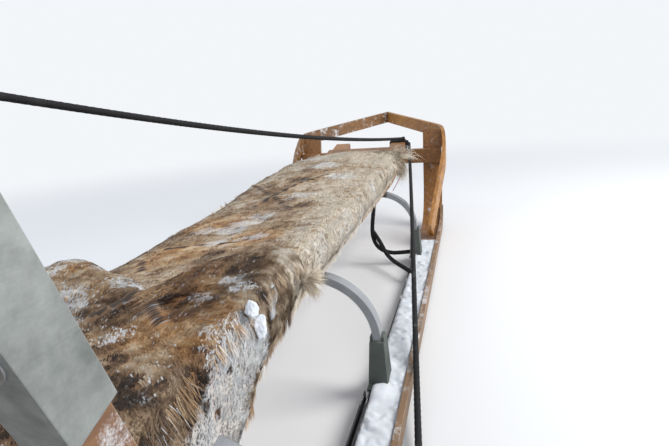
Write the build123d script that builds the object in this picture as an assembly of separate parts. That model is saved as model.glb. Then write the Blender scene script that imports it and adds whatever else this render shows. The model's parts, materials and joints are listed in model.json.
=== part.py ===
from build123d import *
from math import acos, atan2, cos, degrees, hypot, radians, sin, sqrt, tan
import os

# Long two-runner bench sled, drawn by dogs.
# X points forward, Y to the left, Z up. The origin is on the ground, under the middle of the sled.
# Every length is in millimetres. A station is a place along X measured from the runners' tips,
# forward positive, so most stations are negative.

# Overall layout
sled_length = 3660
runner_inner_y = 263        # inner and outer edges of the upturned planks
runner_outer_y = 351
board_inner_y = 276
tip_height = 465            # top of the upturned runner tips
bench_underside_z = 286     # where the rails rest on the hoops' pads

# Runners
sole_thickness = 12
sole_width = 60
board_thickness = 24
strip_width = 13
strip_proud = 6             # by which the side strip stands out beyond the plank
strip_rise = 12             # height of the side strip above the board
strip_front_station = -105  # on the upturned part, which the side strip follows
bend_radius = 185           # of the board's upper face
bend_turn = 79              # degrees turned by the upturned front
sole_end_drop = 130         # from the tip down to the end of the sole
splice_station = -425       # joint between the upturned plank and the flat board, at the top
splice_length = 100         # of the slanting joint
channel_width = 13          # black channel along the board's inner edge
channel_height = 20
channel_wall = 2.5
channel_rise = 5            # above the board
channel_front_station = -1625
edge_band_width = 4         # flat band that carries the channel's line on forward
edge_band_front_station = -800
tail_setback = 30           # of the side strips and channels from the tail

# Bow
bow_thickness = 16
bow_height = 60
bow_apex_station = 616      # where the strips' middle lines meet
bow_apex_z = 538            # upper edge at the point of the bow
bow_tip_z = 472             # upper edge where it passes the tips
bow_corner_y = 384.5
bow_corner_station = -12
bow_corner_radius = 380     # in plan
bow_side_radius = 150       # in side view
bow_end_station = -452
bow_end_y = 317
bow_end_rise = 62           # upper edge above the board at the strip's rear end
bow_hole_count = 2
bow_hole_radius = 4
bow_hole_setback = 38       # first hole from the point of the bow
bow_hole_pitch = 62
bow_hole_drop = 30          # below the strip's upper edge

# Ends of the sled: what stands at the rear has its place from the tail
bow_heading = atan2(bow_corner_y, bow_apex_station - bow_corner_station)
nose_station = bow_apex_station + bow_thickness / 2 / sin(bow_heading)
tail_station = nose_station - sled_length

# Nose beam
beam_top_z = 374
beam_height = 66
beam_depth = 28

# Bench
rail_width = 70
rail_thickness = 34
rail_y = 142
rail_front_station = 12
rail_nose_bevel = 14
rail_bend_station = -560    # where the rails start to rise towards the nose
rail_bend_radius = 900
rail_rear_station = tail_station + 439
slat_width = 95
slat_thickness = 16
slat_overhang = 2
flat_slat_count = 10
flat_slat_front_station = -640
flat_slat_rear_station = tail_station + 599
nose_slat_distances = [50, 165]     # along the rising part of the rails

# Hoops under the bench
hoops = {                   # name: (station, outer half width, outside radius of the corners)
    "front": (-665, 288, 140),
    "middle": (-1571, 297, 150),
    "rear": (tail_station + 909, 306, 150),
}
hoop_depth = 30             # of the tube, along the sled
hoop_height = 17            # of the tube, across the bend
hoop_wall = 2
pad_thickness = 2           # rubber wrapped round the tube under each rail
pad_length = 50
pad_setback = 2             # from where the hoop's corner starts

# Hoop feet: tapered sockets, open at the top, whose end walls are lower than their sides
foot_base_length = 100
foot_base_thickness = 5
foot_width = 42
foot_top_width = 30
foot_side_height = 110
foot_end_height = 100
foot_bottom_length = 60
foot_top_length = 42
foot_clearance = 0.3

# Handlebar frame
stanchion_station = tail_station + 479
stanchion_top_z = 1050
stanchion_width = 40
stanchion_thickness = 28
stanchion_y = 300
stanchion_foot_length = 230
stanchion_foot_height = 26
stanchion_flare_radius = 260
stanchion_top_radius = 12
stay_foot_station = tail_station + 804
stay_joint_z = 890
stay_width = 27
stay_thickness = 26
stay_wood_top_z = 610
stay_channel_bottom_z = 508
stay_channel_wall = 3
stay_clearance = 0.3
handle_diameter = 28
handle_seat_depth = 2       # of the groove for the handle bow in each stanchion
handle_drop = 160           # of the handle bow's ends below the stanchions' tops
handle_rake = 24            # degrees that the handle bow leans back
handle_length = 190
handle_corner_radius = 95
bench_crossbar_width = 34
bench_crossbar_height = 46
tail_crossbar_station = tail_station + 429
tail_crossbar_size = 32
tail_crossbar_z = 96

# Footboard treads
tread_length = 250
tread_width = 50
tread_thickness = 7
tread_tail_gap = 49         # from the tail to the tread's rear end
tread_groove_count = 9
tread_groove_width = 9
tread_groove_depth = 3

# Brake: a bar with two claws, hinged behind the tail crossbar
brake_tube_radius = 11
brake_rod_radius = 7
brake_rod_clearance = 0.05
brake_gap = 12              # from the crossbar to the pivot tube
brake_arm_length = 215
brake_arm_y = 112
brake_arm_size = 20
brake_rest_angle = 14       # degrees that the arms rise to the rear at rest
brake_bar_length = 320
brake_bar_size = 26
brake_claw_y = 92
brake_claw_length = 62
brake_claw_width = 34
brake_claw_tip_width = 8
brake_claw_thickness = 8
hanger_y = 152
hanger_thickness = 6
hanger_reach = 12           # beyond the rod's centre
spring_radius = 11
spring_bore_clearance = 1
spring_gap = 2

# Hides
hide_clearance = 0.4
hide_edge_radius = 20
hide_depth = 160            # of the section carried along the top, before the hem and the bench are cut
hides = {                   # name: (half width, hem above the rails' underside, [(station, top z)])
    "front": (196, 46, [(-1779.5, 366), (-1350, 372), (-850, 398), (-500, 414), (-150, 408)]),
    "rear": (212, 2, [(tail_station + 549, 392), (-1900, 402), (-1780, 400)]),
}

# Lashing and hand rope
lashing_turns = 3
lashing_size = 9
lashing_corner_radius = 8
lashing_gap = 0.4
lashing_front_station = 11
hand_rope_radius = 7
hand_rope_start_station = -2
hand_rope_start_y = -165
hand_rope_sag = 46
hand_rope_tie_z = 802

# Hook line and snow hook, lying on the ground to the right of the sled
hook_line_radius = 7
hook_front_station = -1895
hook_y = -403
hook_length = 190
hook_height = 84
hook_bar = 8
hook_claw_width = 14
hook_claw_spread = 76       # between the claws' middles
hook_tip_reach = 42         # of the claws' tips ahead of the hook's rear
hook_bend_radius = 30
hook_crossbar_depth = 14

# Cords: (station, y, z) along each one
cord_radius = 8
red_cord_radius = 1.6
bend_share = 0.45           # of the shorter run beside each bend
cord_routes = {
    "hook_line": [(8, -193, 399), (-650, -269, 266), (-1730, -384.5, 7), (-1895, -403, 7)],
    "foot_cord": [(-692, -138, 287), (-692, -117, 159), (-692, -119, 106), (-691, -138, 67),
                  (-689, -182, 48), (-686, -226, 49), (-683, -267, 53)],
    "runner_cord": [(-693, -118, 140), (-697, -139, 110), (-707, -157, 79), (-732, -177, 54),
                    (-776, -204, 47), (-832, -242, 45), (-893, -286, 44)],
    "red_cord": [(-100, -174, 359), (-100, -177, 304), (-100, -157, 250), (-100, -131, 205),
                 (-99, -116, 180)],
}
cord_radii = {"hook_line": hook_line_radius, "foot_cord": cord_radius, "runner_cord": cord_radius,
              "red_cord": red_cord_radius}

overshoot = 10              # by which cutting shapes pass the faces that they cut

# Places worked out from the sizes above
tip_x = sled_length / 2 - nose_station
board_top_z = sole_thickness + board_thickness
strip_outer_y = runner_outer_y + strip_proud
strip_inner_y = strip_outer_y - strip_width
bend_centre_z = board_top_z + bend_radius
tip_run = (tip_height - bend_centre_z + bend_radius * cos(radians(bend_turn))) / sin(radians(bend_turn))
bend_station = -bend_radius * sin(radians(bend_turn)) - tip_run * cos(radians(bend_turn))
beam_bottom_z = beam_top_z - beam_height
runner_centre_y = (runner_inner_y + runner_outer_y) / 2
foot_base_z = board_top_z + foot_base_thickness
hoop_top_z = bench_underside_z - pad_thickness
stay_lean = atan2(stay_foot_station - stanchion_station - stanchion_width / 2, stay_joint_z - board_top_z)
handle_low_z = stanchion_top_z - handle_drop


def at(station):
    return tip_x + station


def tip_face_station(z):
    # Rear face of the upturned plank, on its straight part
    return -(tip_height - z) / tan(radians(bend_turn))


def side_face(*edges):
    # A closed outline drawn as (x, z), stood up in the side view
    return Plane.XZ * make_face(list(edges))


def side_polygon(points):
    return side_face(Polyline(*points, close=True))


def slab(face, y_low, y_high):
    # Gives a side-view face its width, from y_low to y_high
    return Pos(0, y_high, 0) * extrude(face, amount=y_high - y_low, dir=(0, -1, 0))


def block(x0, x1, y0, y1, z0, z1):
    return Pos((x0 + x1) / 2, (y0 + y1) / 2, (z0 + z1) / 2) * Box(x1 - x0, y1 - y0, z1 - z0)


def eased_line(spots):
    # Straight runs joined by arcs that take a set share of the shorter run beside each bend
    bends = []
    for before, here, after in zip(spots, spots[1:], spots[2:]):
        turn = radians((here - before).get_angle(after - here))
        shorter = min((here - before).length, (after - here).length)
        bends.append(bend_share * shorter / tan(turn / 2))
    return FilletPolyline(*spots, radius=bends)


def left_copy(part):
    return mirror(part, about=Plane.XZ)


def both_sides(right_parts):
    return Compound(children=right_parts + [left_copy(part) for part in right_parts])


# Runners

def bent_layer(rear_bottom_x, rear_top_x, floor_z, thickness, straight):
    # A flat layer that turns up at the front and runs on straight to its tip
    turn = radians(bend_turn)
    along = Vector(cos(turn), sin(turn))
    across = Vector(-sin(turn), cos(turn))
    low_radius = bend_centre_z - floor_z
    high_radius = low_radius - thickness
    bend_x = at(bend_station)
    low = Line((rear_bottom_x, floor_z), (bend_x, floor_z))
    low_arc = JernArc(low @ 1, (1, 0), low_radius, bend_turn)
    front = Line(low_arc @ 1, low_arc @ 1 + along * straight)
    end = Line(front @ 1, front @ 1 + across * thickness)
    back = Line(end @ 1, end @ 1 - along * straight)
    high_arc = JernArc(back @ 1, along * -1, high_radius, -bend_turn)
    high = Line(high_arc @ 1, (rear_top_x, floor_z + thickness))
    close = Line(high @ 1, low @ 0)
    return side_face(low, low_arc, front, end, back, high_arc, high, close)


def runner_tip(bow):
    face = bent_layer(at(splice_station - splice_length), at(splice_station), sole_thickness,
                      board_thickness, tip_run)
    plank = slab(face, -runner_outer_y, -runner_inner_y)
    # The side strip is let into the plank's outer edge, which is planed to the bow's curve at the tip
    rebate = block(at(splice_station - splice_length) - overshoot, at(strip_front_station),
                   -strip_outer_y, -strip_inner_y, 0, bend_centre_z)
    return plank - rebate - bow


def runner_board():
    face = side_polygon([
        (at(tail_station), sole_thickness),
        (at(splice_station - splice_length), sole_thickness),
        (at(splice_station), board_top_z),
        (at(tail_station), board_top_z),
    ])
    return slab(face, -strip_inner_y, -board_inner_y)


def runner_sole():
    face = bent_layer(at(tail_station), at(tail_station), 0, sole_thickness, tip_run - sole_end_drop)
    half = sole_width / 2
    return slab(face, -runner_centre_y - half, -runner_centre_y + half)


def runner_strip():
    rear_x = at(tail_station + tail_setback)
    face = bent_layer(rear_x, rear_x, sole_thickness, board_thickness + strip_rise, tip_run)
    strip = slab(face, -strip_outer_y, -strip_inner_y)
    front_x = at(strip_front_station)
    return strip - block(front_x, at(nose_station), -strip_outer_y, -strip_inner_y, 0, 2 * tip_height)


def edge_channel():
    front_x = at(channel_front_station)
    high = board_top_z + channel_rise
    low = high - channel_height
    y0 = -board_inner_y
    y1 = y0 + channel_width
    channel = block(at(tail_station + tail_setback), front_x, y0, y1, low, high)
    groove = block(at(tail_station), front_x, y0 + channel_wall, y1 - channel_wall, low + channel_wall, high)
    band = block(front_x, at(edge_band_front_station), y0, y0 + edge_band_width, low, board_top_z)
    return channel - groove + band


# Bow

def bow_strip():
    # The strip is the part that its plan and its side view have in common
    apex = Vector(at(bow_apex_station), 0)
    corner = Vector(at(bow_corner_station), -bow_corner_y)
    end = Vector(at(bow_end_station), -bow_end_y)
    past_apex = apex + (apex - corner).normalized() * bow_height
    centre = FilletPolyline(past_apex, corner, end, radius=bow_corner_radius)
    plan = trace(centre, bow_thickness)
    sheet = extrude(plan, amount=2 * bow_apex_z, dir=(0, 0, 1))
    sheet = sheet - block(at(0), at(nose_station) + 2 * bow_height, 0, bow_corner_y,
                          -overshoot, 3 * bow_apex_z)
    slope = (bow_apex_z - bow_tip_z) / bow_apex_station
    upper = FilletPolyline(
        (at(nose_station) + bow_height, bow_tip_z + slope * (nose_station + bow_height)),
        (at(0), bow_tip_z),
        (at(bow_end_station) - overshoot, board_top_z + bow_end_rise - overshoot),
        radius=bow_side_radius,
    )
    band = Plane.XZ * trace(offset(upper, amount=bow_height / 2, side=Side.LEFT, closed=False), bow_height)
    band = slab(band, -2 * bow_corner_y, bow_height)
    strip = sheet & band
    strip = strip - block(at(bow_end_station) - 2 * bow_height, at(0), -2 * bow_corner_y, 0, -bow_height,
                          board_top_z)
    # Bolt holes near the point of the bow, square to the strip
    for index in range(bow_hole_count):
        reach = bow_hole_setback + index * bow_hole_pitch
        spot = apex + (corner - apex).normalized() * reach
        z = bow_apex_z - slope * (apex.X - spot.X) - bow_hole_drop
        drill = Cylinder(bow_hole_radius, 3 * bow_thickness, rotation=(90, 0, 0))
        strip = strip - Pos(spot.X, spot.Y, z) * Rot(0, 0, degrees(bow_heading)) * drill
    return strip


# Nose beam

def nose_beam():
    face = side_polygon([
        (at(tip_face_station(beam_bottom_z)) - beam_depth, beam_bottom_z),
        (at(tip_face_station(beam_bottom_z)), beam_bottom_z),
        (at(tip_face_station(beam_top_z)), beam_top_z),
        (at(tip_face_station(beam_bottom_z)) - beam_depth, beam_top_z),
    ])
    return slab(face, -runner_outer_y, runner_outer_y)


# Bench

def rail_rise():
    # Angle of the rails' rising part, tangent to the bend and passing over the beam's front edge
    run = tip_face_station(beam_top_z) - rail_bend_station
    rise = beam_top_z - bench_underside_z
    centre_distance = hypot(run, rail_bend_radius - rise)
    return atan2(run, rail_bend_radius - rise) - acos(rail_bend_radius / centre_distance)


rise_angle = rail_rise()
rise_start = Vector(at(rail_bend_station) + rail_bend_radius * sin(rise_angle),
                    bench_underside_z + rail_bend_radius * (1 - cos(rise_angle)))


def on_rise(distance, height):
    # A point above the rails' underside, at a distance along their rising part
    along = Vector(cos(rise_angle), sin(rise_angle))
    across = Vector(-sin(rise_angle), cos(rise_angle))
    return rise_start + along * distance + across * height


def bench_band(low, high, rear_x, reach, bevel=0):
    # A band that follows the rails, between two heights above their underside
    low_radius = rail_bend_radius - low
    high_radius = rail_bend_radius - high
    bend_x = at(rail_bend_station)
    turn = degrees(rise_angle)
    flat_low = Line((rear_x, bench_underside_z + low), (bend_x, bench_underside_z + low))
    arc_low = JernArc(flat_low @ 1, (1, 0), low_radius, turn)
    nose = [on_rise(reach - bevel, low), on_rise(reach, low + bevel), on_rise(reach, high)]
    if bevel == 0:
        nose = nose[1:]
    front = Polyline(arc_low @ 1, *nose, on_rise(0, high))
    arc_high = JernArc(front @ 1, on_rise(0, high) - on_rise(1, high), high_radius, -turn)
    flat_high = Line(arc_high @ 1, (rear_x, bench_underside_z + high))
    rear = Line(flat_high @ 1, flat_low @ 0)
    return side_face(flat_low, arc_low, front, arc_high, flat_high, rear)


def bench_rail():
    reach = (at(rail_front_station) - rise_start.X) / cos(rise_angle)
    face = bench_band(0, rail_thickness, at(rail_rear_station), reach, rail_nose_bevel)
    rail = slab(face, -rail_y - rail_width / 2, -rail_y + rail_width / 2)
    # Flat seat on the nose beam
    seat = block(at(tip_face_station(beam_bottom_z)) - beam_depth, at(rail_front_station) + overshoot,
                 -2 * rail_y, 0, 0, beam_top_z)
    return rail - seat


def bench_slats():
    half = rail_y + rail_width / 2 + slat_overhang
    low = bench_underside_z + rail_thickness
    pitch = (flat_slat_front_station - flat_slat_rear_station) / (flat_slat_count - 1)
    slats = []
    for index in range(flat_slat_count):
        x = at(flat_slat_front_station - index * pitch)
        slats.append(block(x - slat_width / 2, x + slat_width / 2, -half, half, low, low + slat_thickness))
    for distance in nose_slat_distances:
        corners = [(distance, 0), (distance + slat_width, 0),
                   (distance + slat_width, slat_thickness), (distance, slat_thickness)]
        points = [on_rise(along, rail_thickness + up) for along, up in corners]
        slats.append(slab(side_polygon(points), -half, half))
    return Compound(children=slats)


# Hoops and their feet

def arch_face(outer_y, top_z, radius, height, bottom_z):
    # An inverted U of constant height, seen along the sled
    inner_y = outer_y - height
    inner_z = top_z - height
    outer = FilletPolyline((-outer_y, bottom_z), (-outer_y, top_z), (outer_y, top_z), (outer_y, bottom_z),
                           radius=radius)
    inner = FilletPolyline((inner_y, bottom_z), (inner_y, inner_z), (-inner_y, inner_z),
                           (-inner_y, bottom_z), radius=radius - height)
    ends = [Line(outer @ 1, inner @ 0), Line(inner @ 1, outer @ 0)]
    return Plane.YZ * make_face([outer, ends[0], inner, ends[1]])


def hoop_bar(name, grown):
    # The hoop's solid form, made larger by an amount all round, or smaller by a negative one
    station, outer_y, radius = hoops[name]
    face = arch_face(outer_y + grown, hoop_top_z + grown, radius + grown, hoop_height + 2 * grown, foot_base_z)
    return Pos(at(station), 0, 0) * extrude(face, amount=hoop_depth / 2 + grown, both=True)


def hoop(name):
    return hoop_bar(name, 0) - hoop_bar(name, -hoop_wall)


def hoop_foot(name):
    station, outer_y = hoops[name][:2]
    x = at(station)
    leg_y = -outer_y + hoop_height / 2
    outer = leg_y - foot_width / 2
    inner = leg_y + foot_width / 2
    base = block(x - foot_base_length / 2, x + foot_base_length / 2, outer, inner, board_top_z, foot_base_z)
    top_z = board_top_z + foot_side_height
    side = side_polygon([(x - foot_bottom_length / 2, board_top_z), (x + foot_bottom_length / 2, board_top_z),
                         (x + foot_top_length / 2, top_z), (x - foot_top_length / 2, top_z)])
    across = Plane.YZ * make_face(Polyline((outer, board_top_z), (inner, board_top_z),
                                           (leg_y + foot_top_width / 2, top_z),
                                           (leg_y - foot_top_width / 2, top_z), close=True))
    taper = Pos(x, 0, 0) * extrude(across, amount=foot_base_length, both=True)
    socket = base + (slab(side, outer, inner) & taper) - hoop_bar(name, foot_clearance)
    reach = hoop_depth / 2 + foot_clearance
    for near, far in ((-foot_base_length, -reach), (reach, foot_base_length)):
        socket = socket - block(x + near, x + far, outer, inner, board_top_z + foot_end_height, 2 * top_z)
    return socket


def hoop_pad(name):
    station, outer_y, radius = hoops[name]
    outer_x = hoop_depth / 2 + pad_thickness
    inner_x = hoop_depth / 2
    x = at(station)
    y0 = -outer_y + radius + pad_setback
    y1 = y0 + pad_length
    low_z = hoop_top_z - hoop_height
    ring = block(x - outer_x, x + outer_x, y0, y1, low_z - pad_thickness, bench_underside_z)
    return ring - block(x - inner_x, x + inner_x, y0, y1, low_z, hoop_top_z)


# Handlebar frame

def stanchion():
    x = at(stanchion_station)
    half = stanchion_width / 2
    base_z = board_top_z + stanchion_foot_height
    spread = stanchion_foot_length / 2 - half
    rise = sqrt(stanchion_flare_radius ** 2 - (stanchion_flare_radius - spread) ** 2)
    turn = degrees(atan2(rise, stanchion_flare_radius - spread))
    flare_z = base_z + rise
    front = CenterArc((x + half + stanchion_flare_radius, flare_z), stanchion_flare_radius, 180, turn)
    back = CenterArc((x - half - stanchion_flare_radius, flare_z), stanchion_flare_radius, 0, -turn)
    bottom = Polyline(back @ 1, (x - half - spread, board_top_z), (x + half + spread, board_top_z), front @ 1)
    top = FilletPolyline(front @ 0, (x + half, stanchion_top_z), (x - half, stanchion_top_z), back @ 0,
                         radius=stanchion_top_radius)
    face = side_face(bottom, front, top, back)
    return slab(face, -stanchion_y - stanchion_thickness / 2, -stanchion_y + stanchion_thickness / 2)


def on_stay(z, forward):
    # A point beside the stay's centre line, square to it
    centre_x = at(stay_foot_station) - (z - board_top_z) * tan(stay_lean)
    return (centre_x + forward * cos(stay_lean), z + forward * sin(stay_lean))


def at_height(forward, z):
    # Where a line beside the stay's centre line passes a height
    x = at(stay_foot_station) - (z - board_top_z) * tan(stay_lean) + forward / cos(stay_lean)
    return (x, z)


def at_stanchion(forward):
    # Where a line beside the stay's centre line meets the stanchion's front face
    x = at(stanchion_station) + stanchion_width / 2
    base_x = at(stay_foot_station) + forward / cos(stay_lean)
    return (x, board_top_z + (base_x - x) / tan(stay_lean))


def stay_wood():
    half = stay_width / 2
    face = side_polygon([at_height(-half, board_top_z), at_height(half, board_top_z),
                         on_stay(stay_wood_top_z, half), on_stay(stay_wood_top_z, -half)])
    return slab(face, -stanchion_y - stay_thickness / 2, -stanchion_y + stay_thickness / 2)


def stay_channel():
    inner = stay_width / 2 + stay_clearance
    outer = inner + stay_channel_wall
    y_open = -stanchion_y + stay_thickness / 2
    y_web = -stanchion_y - stay_thickness / 2 - stay_clearance
    outside = side_polygon([on_stay(stay_channel_bottom_z, -outer), on_stay(stay_channel_bottom_z, outer),
                            at_stanchion(outer), at_stanchion(-outer)])
    low_z = stay_channel_bottom_z - overshoot
    inside = side_polygon([on_stay(low_z, -inner), on_stay(low_z, inner), at_stanchion(inner),
                           at_stanchion(-inner)])
    hollow = slab(inside, y_web, y_open + overshoot)
    return slab(outside, y_web - stay_channel_wall, y_open) - hollow


def handle_bow():
    radius = handle_diameter / 2
    half = stanchion_y - stanchion_thickness / 2 - radius + handle_seat_depth
    start_x = at(stanchion_station)
    lean = radians(handle_rake)
    top_x = start_x - handle_length * sin(lean)
    top_z = handle_low_z + handle_length * cos(lean)
    path = FilletPolyline((start_x, -half, handle_low_z), (top_x, -half, top_z), (top_x, half, top_z),
                          (start_x, half, handle_low_z), radius=handle_corner_radius)
    section = Plane(origin=path @ 0, z_dir=path % 0) * Circle(radius)
    return sweep(section, path=path)


def crossbar(station, width, low_z, high_z):
    half = stanchion_y - stanchion_thickness / 2
    return block(at(station) - width / 2, at(station) + width / 2, -half, half, low_z, high_z)


def tread():
    x0 = at(tail_station + tread_tail_gap)
    x1 = x0 + tread_length
    centre_y = -(board_inner_y + strip_inner_y) / 2
    pad = block(x0, x1, centre_y - tread_width / 2, centre_y + tread_width / 2,
                board_top_z, board_top_z + tread_thickness)
    pitch = tread_length / (tread_groove_count + 1)
    top_z = board_top_z + tread_thickness
    for index in range(tread_groove_count):
        x = x0 + (index + 1) * pitch
        pad = pad - block(x - tread_groove_width / 2, x + tread_groove_width / 2, centre_y - tread_width,
                          centre_y + tread_width, top_z - tread_groove_depth, top_z + overshoot)
    return pad


# Brake

pivot_x = at(tail_crossbar_station) - tail_crossbar_size / 2 - brake_gap - brake_tube_radius
pivot_z = tail_crossbar_z
brake_tube_half = brake_arm_y + brake_arm_size / 2


def across_cylinder(radius, y_low, y_high):
    body = Cylinder(radius, y_high - y_low, rotation=(90, 0, 0))
    return Pos(pivot_x, (y_low + y_high) / 2, pivot_z) * body


def brake_hanger():
    top = pivot_z + tail_crossbar_size / 2
    low = pivot_z - tail_crossbar_size / 2
    plate = block(pivot_x, at(tail_crossbar_station) - tail_crossbar_size / 2, -hanger_y - hanger_thickness,
                  -hanger_y, low, top)
    eye = across_cylinder(tail_crossbar_size / 2, -hanger_y - hanger_thickness, -hanger_y)
    return plate + eye - across_cylinder(brake_rod_radius, -2 * hanger_y, 0)


def brake_rod():
    return across_cylinder(brake_rod_radius, -hanger_y - hanger_reach, hanger_y + hanger_reach)


def brake_spring():
    # Plain sleeve in the space of a return spring's turns
    sleeve = across_cylinder(spring_radius, -hanger_y, -brake_tube_half - spring_gap)
    return sleeve - across_cylinder(brake_rod_radius + spring_bore_clearance, -2 * hanger_y, 0)


def brake_frame():
    tube = across_cylinder(brake_tube_radius, -brake_tube_half, brake_tube_half)
    half = brake_arm_size / 2
    lever = Pos(-brake_arm_length, 0, 0) * Box(brake_bar_size, brake_bar_length, brake_bar_size)
    for side in (-1, 1):
        y = side * brake_arm_y
        lever = lever + block(-brake_arm_length, 0, y - half, y + half, -half, half)
    turned = Pos(pivot_x, 0, pivot_z) * Rot(0, brake_rest_angle, 0)
    frame = tube + turned * lever
    bore = brake_rod_radius + brake_rod_clearance
    return frame - across_cylinder(bore, -2 * brake_tube_half, 2 * brake_tube_half)


def brake_claws():
    # Tapered plates under the bar, as they hang at rest
    x = -brake_arm_length
    top = -brake_bar_size / 2
    half = brake_claw_width / 2
    tip = brake_claw_tip_width / 2
    face = side_polygon([(x - half, top), (x + half, top), (x + tip, top - brake_claw_length),
                         (x - tip, top - brake_claw_length)])
    turned = Pos(pivot_x, 0, pivot_z) * Rot(0, brake_rest_angle, 0)
    claws = []
    for side in (-1, 1):
        y = side * brake_claw_y
        claws.append(turned * slab(face, y - brake_claw_thickness / 2, y + brake_claw_thickness / 2))
    return Compound(children=claws)


# Hides, as plain closed saddles over the bench

def hide(name):
    # A section with rounded upper corners, carried along the top line, less what lies below the hem
    # and the bench itself
    half, hem, tops = hides[name]
    path = eased_line([Vector(at(station), 0, z) for station, z in tops])
    outside = FilletPolyline((-half, -hide_depth), (-half, 0), (half, 0), (half, -hide_depth),
                             radius=hide_edge_radius)
    start = Plane(origin=path @ 0, x_dir=(0, 1, 0), z_dir=path % 0)
    body = sweep(start * make_face([outside, Line(outside @ 1, outside @ 0)]), path=path)
    rear_x = at(tops[0][0]) - hide_depth
    reach = (at(rail_front_station) - rise_start.X) / cos(rise_angle)
    under = rail_thickness + slat_thickness + hide_clearance
    inner = rail_y + rail_width / 2 + slat_overhang + hide_clearance
    body = body - slab(bench_band(-hide_depth, hem, rear_x, reach), -2 * half, 2 * half)
    return body - slab(bench_band(-hide_depth, under, rear_x, reach), -inner, inner)


# Lashing and lines

def nose_lashing():
    # Turns of rope round the front end of the right-hand rail, ahead of the beam
    outer = RectangleRounded(rail_width + 2 * lashing_size, rail_thickness + 2 * lashing_size,
                             lashing_corner_radius)
    turn = extrude(outer - Rectangle(rail_width, rail_thickness), amount=lashing_size)
    reach = (at(lashing_front_station) - rise_start.X) / cos(rise_angle)
    rings = []
    for index in range(lashing_turns):
        spot = on_rise(reach - index * (lashing_size + lashing_gap), rail_thickness / 2)
        place = Plane(origin=(spot.X, -rail_y, spot.Y), x_dir=(0, 1, 0),
                      z_dir=(-cos(rise_angle), 0, -sin(rise_angle)))
        rings.append(place * turn)
    return Compound(children=rings)


def hand_rope():
    # A nearly tight line from the lashing's top to the left stay's front face
    reach = (at(hand_rope_start_station) - rise_start.X) / cos(rise_angle)
    top = on_rise(reach, rail_thickness + lashing_size + hand_rope_radius)
    outer = stay_width / 2 + stay_clearance + stay_channel_wall
    tie_x, tie_z = at_height(outer, hand_rope_tie_z)
    start = Vector(top.X, hand_rope_start_y, top.Y)
    end = Vector(tie_x - overshoot, stanchion_y, tie_z)
    middle = (start + end) * 0.5 - Vector(0, 0, hand_rope_sag)
    path = ThreePointArc(start, middle, end)
    rope = sweep(Plane(origin=path @ 0, z_dir=path % 0) * Circle(hand_rope_radius), path=path)
    low_z = tie_z - stay_width * 2
    high_z = tie_z + stay_width * 2
    behind = side_polygon([at_height(outer, low_z), at_height(outer, high_z),
                           at_height(-2 * outer, high_z), at_height(-2 * outer, low_z)])
    return rope - slab(behind, stanchion_y - stanchion_thickness, stanchion_y + stanchion_thickness)


def cord(name):
    path = eased_line([Vector(at(station), y, z) for station, y, z in cord_routes[name]])
    return sweep(Plane(origin=path @ 0, z_dir=path % 0) * Circle(cord_radii[name]), path=path)


def snow_hook():
    # Two claws bent from flat bar, held together by two crossbars
    front_x = at(hook_front_station)
    rear_x = front_x - hook_length
    centre = FilletPolyline((front_x, hook_bar), (rear_x, hook_height),
                            (rear_x + hook_tip_reach, -overshoot), radius=hook_bend_radius)
    claw = Plane.XZ * trace(centre, hook_bar)
    half = hook_claw_spread / 2
    hook = block(front_x - hook_crossbar_depth, front_x, hook_y - half, hook_y + half, 0,
                 2 * hook_line_radius)
    middle = Vector((front_x + rear_x) / 2, (hook_bar + hook_height) / 2)
    hook = hook + block(middle.X - hook_crossbar_depth / 2, middle.X + hook_crossbar_depth / 2,
                        hook_y - half, hook_y + half, middle.Y - hook_bar / 2, middle.Y + hook_bar / 2)
    for side in (-1, 1):
        y = hook_y + side * half
        hook = hook + slab(claw, y - hook_claw_width / 2, y + hook_claw_width / 2)
    return hook - block(rear_x - hook_length, front_x + overshoot, 2 * hook_y, 0, -2 * hook_height, 0)


# The pieces and their colours

wood = (0.50, 0.30, 0.15)
pale_wood = (0.60, 0.50, 0.38)
dark = (0.06, 0.06, 0.06)
metal = (0.62, 0.64, 0.66)
iron = (0.20, 0.22, 0.20)
hide_brown = (0.42, 0.33, 0.26)
red = (0.60, 0.05, 0.05)

bow_right = bow_strip()
rail_right = bench_rail()
handle = handle_bow()
channel_right = stay_channel()
feet_right = [hoop_foot(name) for name in hoops]
foot_line = cord("foot_cord") - rail_right - feet_right[0]
hook = snow_hook()

paired_pieces = [
    ("runner_board", runner_board(), wood),
    ("runner_tip", runner_tip(bow_right), wood),
    ("runner_sole", runner_sole(), dark),
    ("runner_strip", runner_strip(), wood),
    ("edge_channel", edge_channel(), dark),
    ("bow", bow_right, pale_wood),
    ("bench_rail", rail_right, wood),
    ("hoop_feet", Compound(children=feet_right), iron),
    ("stanchion", stanchion() - handle, wood),
    ("stay", stay_wood(), wood),
    ("stay_channel", channel_right, metal),
    ("footboard_tread", tread(), dark),
]

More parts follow.
